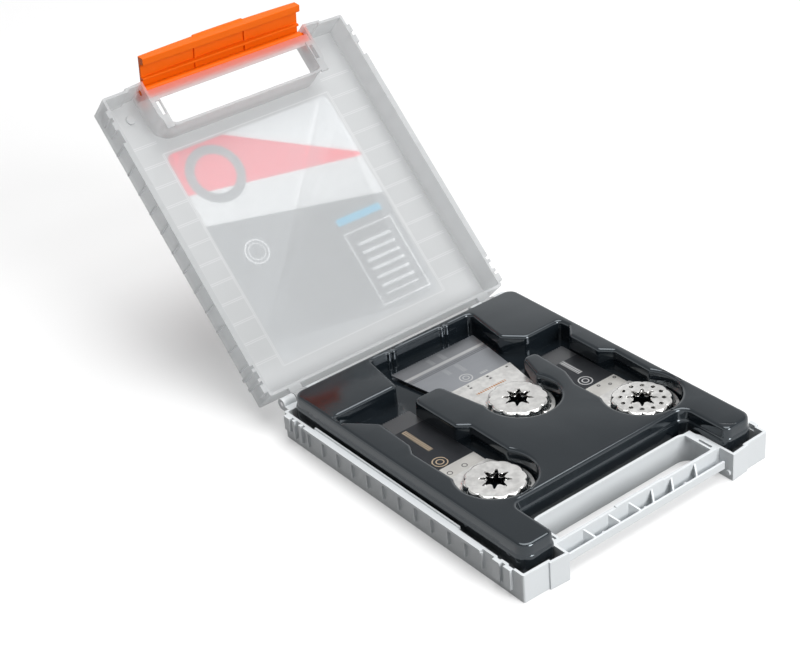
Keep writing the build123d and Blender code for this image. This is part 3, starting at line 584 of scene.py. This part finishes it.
def studio_sky(tree):
    """Even soft sky; polished surfaces see it white near the horizon and greyer overhead."""
    sky = tree.nodes["Background"]
    place = tree.nodes.new("ShaderNodeTexCoord")
    parts = tree.nodes.new("ShaderNodeSeparateXYZ")
    climb = tree.nodes.new("ShaderNodeMapRange")
    rays = tree.nodes.new("ShaderNodeLightPath")
    power = tree.nodes.new("ShaderNodeMix")
    tree.links.new(place.outputs["Generated"], parts.inputs[0])
    tree.links.new(parts.outputs["Z"], climb.inputs["Value"])
    tree.links.new(rays.outputs["Is Glossy Ray"], power.inputs["Factor"])
    tree.links.new(climb.outputs["Result"], power.inputs["B"])
    tree.links.new(power.outputs["Result"], sky.inputs["Strength"])
    for name, value in (("From Min", 0.46), ("From Max", 0.58), ("To Min", 1.15), ("To Max", 0.5)):
        climb.inputs[name].default_value = value
    power.inputs["A"].default_value = 0.22
    sky.inputs["Color"].default_value = (1.0, 1.0, 1.0, 1.0)


# ------------------------------------------------------------------ surfaces
def settle(name, mesh, smooth=35.0):
    """Puts a mesh in the scene as an object at the origin, smooth except over sharp edges."""
    piece = bpy.data.objects.new(name, mesh)
    bpy.context.scene.collection.objects.link(piece)
    mesh.polygons.foreach_set("use_smooth", np.ones(len(mesh.polygons), bool))
    mesh.set_sharp_from_angle(angle=math.radians(smooth))
    return piece


def corner_arc(before, corner, after, radius, count=9):
    """Points of the arc that is tangent to both sides of a corner.

    Its centre lies radius / sin(half the corner's angle) from the corner.
    """
    corner = np.array(corner, float)
    a = np.array(before, float) - corner
    b = np.array(after, float) - corner
    a /= np.linalg.norm(a)
    b /= np.linalg.norm(b)
    half = math.acos(np.clip(a @ b, -1, 1)) / 2
    middle = (a + b) / np.linalg.norm(a + b)
    centre = corner + middle * radius / math.sin(half)
    reach = radius / math.tan(half)
    start, end = corner + a * reach - centre, corner + b * reach - centre
    t = np.linspace(0, 1, count)[:, None]
    spoke = start * (1 - t) + end * t
    return centre + radius * spoke / np.linalg.norm(spoke, axis=1, keepdims=True)


def closed_path(items, step, soften):
    """Closed path through rounded corners and well arcs, in even steps.

    Corners become tangent arcs, the whole is resampled by arc length, and a circular Gaussian of
    soften millimetres rounds what is left. The path runs anticlockwise.
    """
    parts = []
    for i, item in enumerate(items):
        if len(item) == 5:
            x, y, r, a0, a1 = item
            a = np.radians(np.linspace(a0, a1, 60))
            parts.append(np.column_stack([x + r * np.cos(a), y + r * np.sin(a)]))
            continue
        before, after = items[i - 1], items[(i + 1) % len(items)]
        start = before[:2] if len(before) == 3 else arc_end(before, 4)
        end = after[:2] if len(after) == 3 else arc_end(after, 3)
        parts.append(corner_arc(start, item[:2], end, item[2]))
    points = np.vstack(parts)
    closed = np.vstack([points, points[:1]])
    along = np.concatenate([[0], np.cumsum(np.linalg.norm(np.diff(closed, axis=0), axis=1))])
    count = int(round(along[-1] / step))
    t = np.linspace(0, along[-1], count, endpoint=False)
    loop = np.column_stack([np.interp(t, along, closed[:, k]) for k in range(2)])
    weight = np.exp(-2 * (PI * np.fft.fftfreq(count) * soften / step) ** 2)
    loop = np.fft.ifft(np.fft.fft(loop, axis=0) * weight[:, None], axis=0).real
    area = np.sum(loop[:, 0] * np.roll(loop[:, 1], -1) - np.roll(loop[:, 0], -1) * loop[:, 1])
    return loop if area > 0 else loop[::-1]


def arc_end(item, which):
    """Start or end point of a well arc."""
    x, y, r = item[:3]
    a = math.radians(item[which])
    return x + r * math.cos(a), y + r * math.sin(a)


def outward(loop):
    """Unit normals of an anticlockwise loop, pointing out of it."""
    along = np.roll(loop, -1, axis=0) - np.roll(loop, 1, axis=0)
    normal = np.column_stack([along[:, 1], -along[:, 0]])
    return normal / np.linalg.norm(normal, axis=1, keepdims=True)


def wall_rings(loop, profile):
    """Rings of a wall carried along a loop.

    Ring k is the loop moved out by profile[k, 0], at the height profile[k, 1].
    """
    profile = np.array(profile, float)
    flat = loop[None] + profile[:, 0, None, None] * outward(loop)[None]
    height = np.broadcast_to(profile[:, 1, None, None], flat.shape[:2] + (1,))
    return np.concatenate([flat, height], axis=2)


def ring_faces(rows, count, closed=False, start=0):
    """Quads between rows of rings with count points each."""
    i, j = np.meshgrid(np.arange(rows if closed else rows - 1), np.arange(count), indexing="ij")
    a = i * count + j
    b = i * count + (j + 1) % count
    c = ((i + 1) % rows) * count + (j + 1) % count
    d = ((i + 1) % rows) * count + j
    return np.stack([a, b, c, d], axis=-1).reshape(-1, 4) + start


def new_mesh(name, points, faces):
    """A mesh from points in millimetres."""
    mesh = bpy.data.meshes.new(name)
    mesh.from_pydata((np.asarray(points) * MM).tolist(), [], np.asarray(faces).tolist())
    mesh.validate()
    return mesh


def apply_modifiers(piece):
    """Gives a piece the mesh that its modifiers make, and removes them."""
    bpy.context.view_layer.update()
    made = piece.evaluated_get(bpy.context.evaluated_depsgraph_get())
    mesh = bpy.data.meshes.new_from_object(made)
    piece.modifiers.clear()
    piece.data = mesh
    return mesh


def refined_copy(node, name, edge, angle=38.0):
    """Copy of a CAD node: welded, its flat faces joined, and its edges rounded by a bevel."""
    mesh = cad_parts[node].data.copy()
    mesh.name = name
    work = bmesh.new()
    work.from_mesh(mesh)
    bmesh.ops.remove_doubles(work, verts=work.verts, dist=3e-6)
    bmesh.ops.dissolve_limit(work, angle_limit=math.radians(0.6), verts=work.verts, edges=work.edges)
    large = [face for face in work.faces if len(face.verts) > 4]
    bmesh.ops.triangulate(work, faces=large, ngon_method="BEAUTY")
    work.to_mesh(mesh)
    work.free()
    mesh.materials.clear()
    piece = settle(name, mesh)
    bevel = piece.modifiers.new("edges", "BEVEL")
    bevel.width = edge
    bevel.segments = 2
    bevel.limit_method = "ANGLE"
    bevel.angle_limit = math.radians(angle)
    bevel.use_clamp_overlap = False
    even_normals(apply_modifiers(piece))
    return piece


def even_normals(mesh, limit=40.0):
    """Corner normals that keep flats flat.

    Faces that lie in one plane form a flat. A corner's normal is the mean of the faces about it that
    turn less than limit, each weighted by the square of the area of its flat.
    """
    work = bmesh.new()
    work.from_mesh(mesh)
    work.faces.ensure_lookup_table()
    flat, areas = [-1] * len(work.faces), []
    for seed in work.faces:
        reach = [seed] if flat[seed.index] < 0 else []
        areas.append(0.0)
        for face in reach:
            if flat[face.index] >= 0:
                continue
            flat[face.index] = seed.index
            areas[seed.index] += face.calc_area()
            for edge in face.edges:
                near = [other for other in edge.link_faces if flat[other.index] < 0]
                reach += [other for other in near if other.normal.dot(seed.normal) > 0.99999]
    turn = math.cos(math.radians(limit))
    normals = []
    for face in work.faces:
        for corner in face.loops:
            about = [other for other in corner.vert.link_faces if other.normal.dot(face.normal) > turn]
            mean = sum((other.normal * areas[flat[other.index]] ** 2 for other in about), Vector())
            normals.append(mean.normalized() if mean.length > 0.0 else face.normal)
    work.free()
    mesh.normals_split_custom_set(normals)


def finish_piece(piece, body, slot, material, *nodes):
    """Gives a piece its material, its body and the CAD nodes it stands for."""
    piece.data.materials.clear()
    piece.data.materials.append(material)
    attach(piece, body)
    if nodes:
        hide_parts(*nodes)
    return piece


def dress_node(node, material):
    """Puts a material on a CAD node that is shown as it is."""
    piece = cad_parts[node]
    piece.data.materials.clear()
    piece.data.materials.append(material)
    return piece


def stored(points):
    """Points of the closed lid, in millimetres, turned about the hinge to where it stands open."""
    points = np.asarray(points, float)
    y, z = points[..., 1] - HINGE_Y, points[..., 2] - HINGE_Z
    c, s = math.cos(-LID_OPEN), math.sin(-LID_OPEN)
    return np.stack([points[..., 0], HINGE_Y + y * c - z * s, HINGE_Z + y * s + z * c], axis=-1)


# ------------------------------------------------------------------ operators
class CASE_OT_base(bpy.types.Operator):
    """Grey base shell with its rounded moulded edges"""

    bl_idname = "blade_case.base"
    bl_label = "Base shell"

    def execute(self, context):
        sizes, colours = context.scene.case_sizes, context.scene.case_colours
        piece = refined_copy("base_shell", "base_moulding", sizes.shell_edge)
        grey = moulded_plastic("shell_grey_plastic", colours.shell)
        finish_piece(piece, "base", "shell_grey", grey, "base_shell")
        pin = stamped_steel("pin_steel_drawn", (0.55, 0.55, 0.56), 0.32)
        for node in ("hinge_pin_left", "hinge_pin_right"):
            dress_node(node, pin)
        return {"FINISHED"}


class CASE_OT_lid(bpy.types.Operator):
    """Frosted lid shell"""

    bl_idname = "blade_case.lid"
    bl_label = "Lid shell"

    def execute(self, context):
        sizes, colours = context.scene.case_sizes, context.scene.case_colours
        piece = refined_copy("lid_shell", "lid_moulding", sizes.shell_edge)
        frosted = frosted_plastic("lid_frosted_plastic", colours.lid)
        finish_piece(piece, "lid", "lid_frosted", frosted, "lid_shell")
        return {"FINISHED"}


class CASE_OT_latch(bpy.types.Operator):
    """Orange front latch"""

    bl_idname = "blade_case.latch"
    bl_label = "Latch"

    def execute(self, context):
        sizes, colours = context.scene.case_sizes, context.scene.case_colours
        piece = refined_copy("latch", "latch_moulding", sizes.latch_edge)
        orange = moulded_plastic("latch_orange_plastic", colours.latch, 0.42, 0.04, shine=0.2)
        finish_piece(piece, "latch", "latch_orange", orange, "latch")
        return {"FINISHED"}


class CASE_OT_label(bpy.types.Operator):
    """Printed sheet in the lid's outer recess"""

    bl_idname = "blade_case.label"
    bl_label = "Printed sheet"

    def execute(self, context):
        x, front, back = LABEL_HALF_WIDTH, LABEL_FRONT, LABEL_BACK
        path = ((-x, front, 4), (x, front, 4), (x, back, 4), (-x, back, 4))
        loop = closed_path(path, 1.0, 0.2)
        profile = ((0, LABEL_LEVEL), (0, LABEL_LEVEL + LABEL_THICKNESS))
        rings = wall_rings(loop, profile)
        count = len(loop)
        points = rings.reshape(-1, 3)
        mesh = new_mesh("label_sheet_print", stored(points), ring_faces(2, count))
        work = bmesh.new()
        work.from_mesh(mesh)
        work.verts.ensure_lookup_table()
        for k, turn in ((0, True), (1, False)):
            ring = [work.verts[k * count + i] for i in range(count)]
            work.faces.new(ring[::-1] if turn else ring)
        bmesh.ops.recalc_face_normals(work, faces=work.faces)
        layer = work.loops.layers.uv.new("sheet")
        flat = np.concatenate([loop, loop])
        for face in work.faces:
            for corner in face.loops:
                px, py = flat[corner.vert.index]
                corner[layer].uv = ((px + x) / (2 * x), (py - front) / (back - front))
        work.to_mesh(mesh)
        work.free()
        piece = settle("label_sheet_print", mesh)
        finish_piece(piece, "lid", "label_print", printed_sheet("label_printed_film"), "label_sheet")
        return {"FINISHED"}


class CASE_OT_tray(bpy.types.Operator):
    """Formed black tray with its joined pockets"""

    bl_idname = "blade_case.tray"
    bl_label = "Blade tray"

    def execute(self, context):
        sizes, colours = context.scene.case_sizes, context.scene.case_colours
        edge, step = sizes.tray_edge / MM, sizes.path_step / MM
        outer = closed_path(TRAY_PATH, step, 0.4)
        pocket = closed_path(POCKET_PATH, step, 0.4)
        # the rounded upper edge of both walls: distance from the wall, and drop below the top
        rounding = (
            (edge + 0.4, 0.0), (edge, 0.01), (0.55 * edge, 0.12 * edge), (0.2 * edge, 0.45 * edge),
        )
        outer_profile = tuple((-away, TRAY_TOP - drop) for away, drop in rounding) + (
            (0.0, TRAY_TOP - edge), (0.2, TRAY_STEP + 1.6), (0.35, TRAY_STEP + 0.9),
            (0.75, TRAY_STEP + 0.45), (0.95, TRAY_STEP - 0.1), (1.0, TRAY_STEP - 0.8), (1.0, TRAY_SEAT),
        )
        pocket_profile = tuple((away, TRAY_TOP - drop) for away, drop in rounding) + (
            (0.0, TRAY_TOP - edge), (-0.15, 22.0), (-0.35, POCKET_FLOOR + 1.2),
            (-0.5, POCKET_FLOOR + 0.5), (-0.8, POCKET_FLOOR + 0.1),
            (-1.0, POCKET_FLOOR), (-1.3, POCKET_FLOOR),
        )
        rings = [wall_rings(outer, outer_profile), wall_rings(pocket, pocket_profile)]
        points = np.concatenate([r.reshape(-1, 3) for r in rings])
        split = rings[0].shape[0] * rings[0].shape[1]
        faces = np.concatenate(
            [ring_faces(*rings[0].shape[:2]), ring_faces(*rings[1].shape[:2], start=split)]
        )
        mesh = new_mesh("formed_tray", points, faces)
        work = bmesh.new()
        work.from_mesh(mesh)
        work.verts.ensure_lookup_table()

        def loop_edges(start, count):
            ring = [work.verts[start + i] for i in range(count)]
            found = [work.edges.get(pair) for pair in zip(ring, ring[1:] + ring[:1])]
            return [e for e in found if e]

        top = loop_edges(0, len(outer)) + loop_edges(split, len(pocket))
        floor = loop_edges(split + (len(pocket_profile) - 1) * len(pocket), len(pocket))
        for edges in (top, floor):
            bmesh.ops.triangle_fill(work, use_beauty=True, edges=edges, normal=(0, 0, 1))
        bmesh.ops.recalc_face_normals(work, faces=work.faces)
        work.faces.ensure_lookup_table()
        highest = max(work.faces, key=lambda face: face.calc_center_median().z)
        if highest.normal.z < 0:
            bmesh.ops.reverse_faces(work, faces=work.faces)
        work.to_mesh(mesh)
        work.free()
        piece = settle("formed_tray", mesh, 50.0)
        # the thickness comes to lie outside these faces, so the tray is that much larger than its solid
        sheet = piece.modifiers.new("sheet", "SOLIDIFY")
        sheet.thickness = TRAY_SHEET * MM
        sheet.offset = -1.0
        gloss = tray_plastic("tray_formed_gloss", colours.tray)
        finish_piece(piece, "tray", "tray_black", gloss, "blade_tray")
        return {"FINISHED"}


def plate_reach(outline, radius, angle):
    """Polar radius of a hub plate: the larger of its round end and its neck polygon, at each angle."""
    neck = np.array(outline, float)
    a, b = neck, np.roll(neck, -1, axis=0)
    ray = np.column_stack([np.cos(angle), np.sin(angle)])[:, None, :]
    along = (b - a)[None]
    cross = ray[..., 0] * along[..., 1] - ray[..., 1] * along[..., 0]
    cross = np.where(np.abs(cross) < 1e-9, 1e-9, cross)
    far = (a[None, :, 0] * along[..., 1] - a[None, :, 1] * along[..., 0]) / cross
    part = (a[None, :, 0] * ray[..., 1] - a[None, :, 1] * ray[..., 0]) / cross
    hit = np.where((far > 0) & (part >= 0) & (part <= 1), far, 0.0).max(axis=1)
    return np.maximum(hit, radius)


def hub_mesh(name, centre, outline, level, pin_holes):
    """Stamped hub as one closed skin of rings about its centre.

    Every ring is a polar curve: the plate's outline, the lobed cup, whose radius swells twelve times
    round, or the star, whose radius is a body with eight Gaussian rays.
    """
    count = HUB_POINTS
    angle = np.arange(count) * 2 * PI / count
    low = level + BLADE
    face = low + HUB_PLATE
    top = face + CUP_RISE
    lobe = np.abs(np.cos(CUP_LOBES * angle / 2)) ** 0.6
    plate = plate_reach(outline, HUB_RADIUS, angle)

    def cup(radius, depth):
        return radius - depth + depth * lobe

    phase = (angle + PI / STAR_RAYS) % (2 * PI / STAR_RAYS) - PI / STAR_RAYS
    star = STAR_BODY + STAR_RAY * np.exp(-(np.abs(phase / 0.15) ** 1.9))
    rings = (
        (plate, low), (plate, face - 0.2), (plate - 0.2, face), (cup(19.7, 0.0), face),
        (cup(19.2, 0.6), face + 0.1), (cup(18.8, 1.3), face + 0.5), (cup(18.1, 1.7), top - 1.1),
        (cup(17.7, 1.5), top - 0.5), (cup(17.2, 1.1), top - 0.18), (cup(16.6, 0.7), top - 0.03),
        (cup(15.8, 0.3), top), (cup(15.0, 0.0), top),
        (star + 0.2, top), (star, top - 0.15), (star, top - CUP_WALL), (cup(15.0, 0.9), top - CUP_WALL),
        (cup(15.9, 1.2), top - CUP_WALL - 0.5), (cup(17.0, 1.2), low),
    )
    points = np.stack(
        [
            np.column_stack(
                [centre[0] + r * np.cos(angle), centre[1] + r * np.sin(angle), np.full(count, z)]
            )
            for r, z in rings
        ]
    )
    mesh = new_mesh(name, points.reshape(-1, 3), ring_faces(len(rings), count, closed=True))
    work = bmesh.new()
    work.from_mesh(mesh)
    bmesh.ops.recalc_face_normals(work, faces=work.faces)
    work.to_mesh(mesh)
    work.free()
    piece = settle(name, mesh, 32.0)
    if pin_holes:
        drill_ring(piece, centre, top)
    return piece


def drill_ring(piece, centre, top):
    """Cuts the ring of pin holes through the cup's top."""
    work = bmesh.new()
    for k in range(PIN_HOLES):
        a = 2 * PI * (k + 0.5) / PIN_HOLES
        x, y = centre[0] + PIN_CIRCLE * math.cos(a), centre[1] + PIN_CIRCLE * math.sin(a)
        at = Matrix.Translation(Vector((x, y, top - 0.5 * CUP_WALL)) * MM)
        bmesh.ops.create_cone(
            work, cap_ends=True, segments=28, radius1=PIN_HOLE * MM, radius2=PIN_HOLE * MM,
            depth=2.4 * CUP_WALL * MM, matrix=at,
        )
    mesh = bpy.data.meshes.new("pin_hole_cutter")
    work.to_mesh(mesh)
    work.free()
    cutter = bpy.data.objects.new("pin_hole_cutter", mesh)
    bpy.context.scene.collection.objects.link(cutter)
    cut = piece.modifiers.new("holes", "BOOLEAN")
    cut.operation = "DIFFERENCE"
    cut.solver = "EXACT"
    cut.object = cutter
    apply_modifiers(piece)
    bpy.data.objects.remove(cutter)
    piece.data.set_sharp_from_angle(angle=math.radians(32.0))


class CASE_OT_hubs(bpy.types.Operator):
    """Stamped hubs with their lobed cups and star holes"""

    bl_idname = "blade_case.hubs"
    bl_label = "Blade hubs"

    def execute(self, context):
        colour = context.scene.case_colours.steel
        brown, dark = (0.50, 0.21, 0.05), (0.10, 0.10, 0.10)
        marks = (
            ("ticks", brown, (33.0, 34.9, -1.2, 21.0), 1.7, 0.55),
            ("ticks", dark, (41.0, 42.3, -7.0, 25.5), 15.3, 0.11),
            ("ticks", dark, (43.8, 45.1, 0.5, 33.0), 15.3, 0.11),
        )
        plain_steel = polished_hub("hub_stamped_steel", colour)
        marked_steel = polished_hub("wide_hub_stamped_steel", colour, marks)
        for family, (centre, outline) in HUBS.items():
            steel = marked_steel if family == "wide" else plain_steel
            for place, level in (("lower", LOWER_LEVEL), ("upper", UPPER_LEVEL)):
                name = f"{family}_{place}_hub"
                piece = hub_mesh(f"{name}_stamped", centre, outline, level, family == "right")
                finish_piece(piece, f"{family}_{place}_blade", "blade_steel", steel, name)
        return {"FINISHED"}


class CASE_OT_blades(bpy.types.Operator):
    """Ground blade plates and toothed strips"""

    bl_idname = "blade_case.blades"
    bl_label = "Blade plates"

    def execute(self, context):
        bright, weld, ink = (0.80, 0.785, 0.75), (0.16, 0.16, 0.16), (0.62, 0.50, 0.36)
        blue, dusk, pale = (0.36, 0.375, 0.40), (0.045, 0.048, 0.054), (0.66, 0.665, 0.67)
        faint, joint = (0.46, 0.47, 0.49), (0.06, 0.06, 0.065)
        finishes = {
            "wide": ground_steel(
                "wide_plate_steel", blue, bright, 40.0,
                (
                    ("bars", faint, (1.6, 4.6, 63.0, 70.0), 1.3, 0.6),
                    ("bars", faint, (10.6, 13.8, 60.0, 70.0), 1.3, 0.6),
                    ("bars", joint, (-60.0, 60.0, 72.6, 73.0), 1000.0, 1.0),
                    ("bars", joint, (-60.0, 60.0, 71.2, 71.6), 1000.0, 1.0),
                    ("rings", pale, (7.3, 53.9), 9.0, 1, 3.9, 0.35),
                    ("rings", pale, (7.3, 53.9), 9.0, 1, 1.9, 0.3),
                    ("ticks", pale, (50.5, 52.3, 16.0, 22.5), 1.5, 0.5),
                ),
            ),
            "left": ground_steel(
                "left_plate_steel", dusk, bright, -7.3,
                (
                    ("rings", weld, (-61.8, -13.6), 10.6, 2, 1.5, 0.3),
                    ("bars", ink, (-57.0, -53.6, 11.0, 36.0), 1.5, 0.6),
                    ("rings", ink, (-59.0, -1.6), 9.0, 1, 4.4, 0.35),
                    ("rings", ink, (-59.0, -1.6), 9.0, 1, 2.2, 0.35),
                ),
            ),
            "right": ground_steel(
                "right_plate_steel", dusk, bright, -5.5,
                (
                    ("rings", weld, (56.8, -8.2), 13.0, 2, 0.8, 0.4),
                    ("rings", weld, (62.9, -11.6), 13.0, 1, 0.8, 0.4),
                    ("bars", pale, (57.2, 60.8, 9.0, 36.0), 1.6, 0.6),
                    ("rings", pale, (55.2, 1.2), 9.0, 1, 4.2, 0.35),
                    ("rings", pale, (55.2, 1.2), 9.0, 1, 2.0, 0.35),
                ),
            ),
        }
        behind = -200.0     # the bright zone would end behind the blade, so a strip is blued all over
        wide_marks = (
            ("bars", faint, (1.6, 4.6, 78.5, 86.0), 1.3, 0.6),
            ("bars", faint, (10.6, 13.8, 78.5, 87.0), 1.3, 0.6),
            ("bars", pale, (-60.0, 60.0, 75.0, 77.6), 1000.0, 1.0),
        )
        strips = {
            "wide": ground_steel(
                "wide_strip_steel", (0.33, 0.34, 0.36), bright, behind, wide_marks, 0.28
            ),
            "left": ground_steel(
                "narrow_strip_steel", (0.14, 0.144, 0.15), bright, behind, (), 0.28
            ),
        }
        strips["right"] = strips["left"]
        for family, plate in finishes.items():
            for place in ("lower", "upper"):
                dress_node(f"{family}_{place}_plate", plate)
                dress_node(f"{family}_{place}_strip", strips[family])
        return {"FINISHED"}


class CASE_OT_stage(bpy.types.Operator):
    """Floor, lamps, world and camera"""

    bl_idname = "blade_case.stage"
    bl_label = "Studio"

    def execute(self, context):
        scene = context.scene
        half = 4000.0
        corners = [(-half, -half, 0), (half, -half, 0), (half, half, 0), (-half, half, 0)]
        floor = settle("studio_floor", new_mesh("studio_floor", corners, [(0, 1, 2, 3)]))
        floor.data.materials.append(studio_floor("floor_white"))

        world = bpy.data.worlds.new("studio_world")
        scene.world = world
        world.use_nodes = True
        studio_sky(world.node_tree)

        def lamp(name, energy, size, place, aim):
            data = bpy.data.lights.new(name, "AREA")
            data.shape = "DISK"
            data.energy = energy
            data.size = size
            holder = bpy.data.objects.new(name, data)
            scene.collection.objects.link(holder)
            holder.location = place
            holder.rotation_euler = (Vector(aim) - Vector(place)).to_track_quat("-Z", "Y").to_euler()

        lamp("top_lamp", 70.0, 2.6, (0.45, 0.0, 2.6), (0.0, 0.05, 0.0))
        lamp("front_lamp", 70.0, 1.5, (0.4, -2.4, 1.3), (0.0, 0.05, 0.0))

        camera = bpy.data.cameras.new("case_camera")
        camera.lens = LENS
        camera.sensor_width = 36.0
        camera.clip_end = 50.0
        holder = bpy.data.objects.new("case_camera", camera)
        scene.collection.objects.link(holder)
        axes = Matrix((EYE_RIGHT, [-v for v in EYE_DOWN], [-v for v in EYE_AHEAD])).transposed()
        holder.matrix_world = Matrix.Translation(Vector(EYE) * MM) @ axes.to_4x4()
        scene.camera = holder
        scene.view_settings.view_transform = "Standard"
        return {"FINISHED"}


class CASE_PT_panel(bpy.types.Panel):
    """Sidebar list of the case's sizes, colours and pieces"""

    bl_label = "Blade case"
    bl_idname = "CASE_PT_panel"
    bl_space_type = "VIEW_3D"
    bl_region_type = "UI"
    bl_category = "Blade case"

    def draw(self, context):
        layout = self.layout
        for group in (context.scene.case_sizes, context.scene.case_colours):
            for key in group.__annotations__:
                layout.prop(group, key)
        for operator in OPERATORS:
            layout.operator(operator.bl_idname)


OPERATORS = (
    CASE_OT_stage, CASE_OT_base, CASE_OT_lid, CASE_OT_latch, CASE_OT_label, CASE_OT_tray, CASE_OT_hubs,
    CASE_OT_blades,
)
CLASSES = (CaseSizes, CaseColours) + OPERATORS + (CASE_PT_panel,)


def register():
    """Registers the classes and puts the settings on the scene."""
    for cls in CLASSES:
        bpy.utils.register_class(cls)
    bpy.types.Scene.case_sizes = PointerProperty(type=CaseSizes)
    bpy.types.Scene.case_colours = PointerProperty(type=CaseColours)


def unregister():
    """Removes the settings and the classes."""
    del bpy.types.Scene.case_colours
    del bpy.types.Scene.case_sizes
    for cls in reversed(CLASSES):
        bpy.utils.unregister_class(cls)


def main():
    register()
    for operator in OPERATORS:
        space, name = operator.bl_idname.split(".")
        getattr(getattr(bpy.ops, space), name)()


if __name__ == "__main__":
    main()
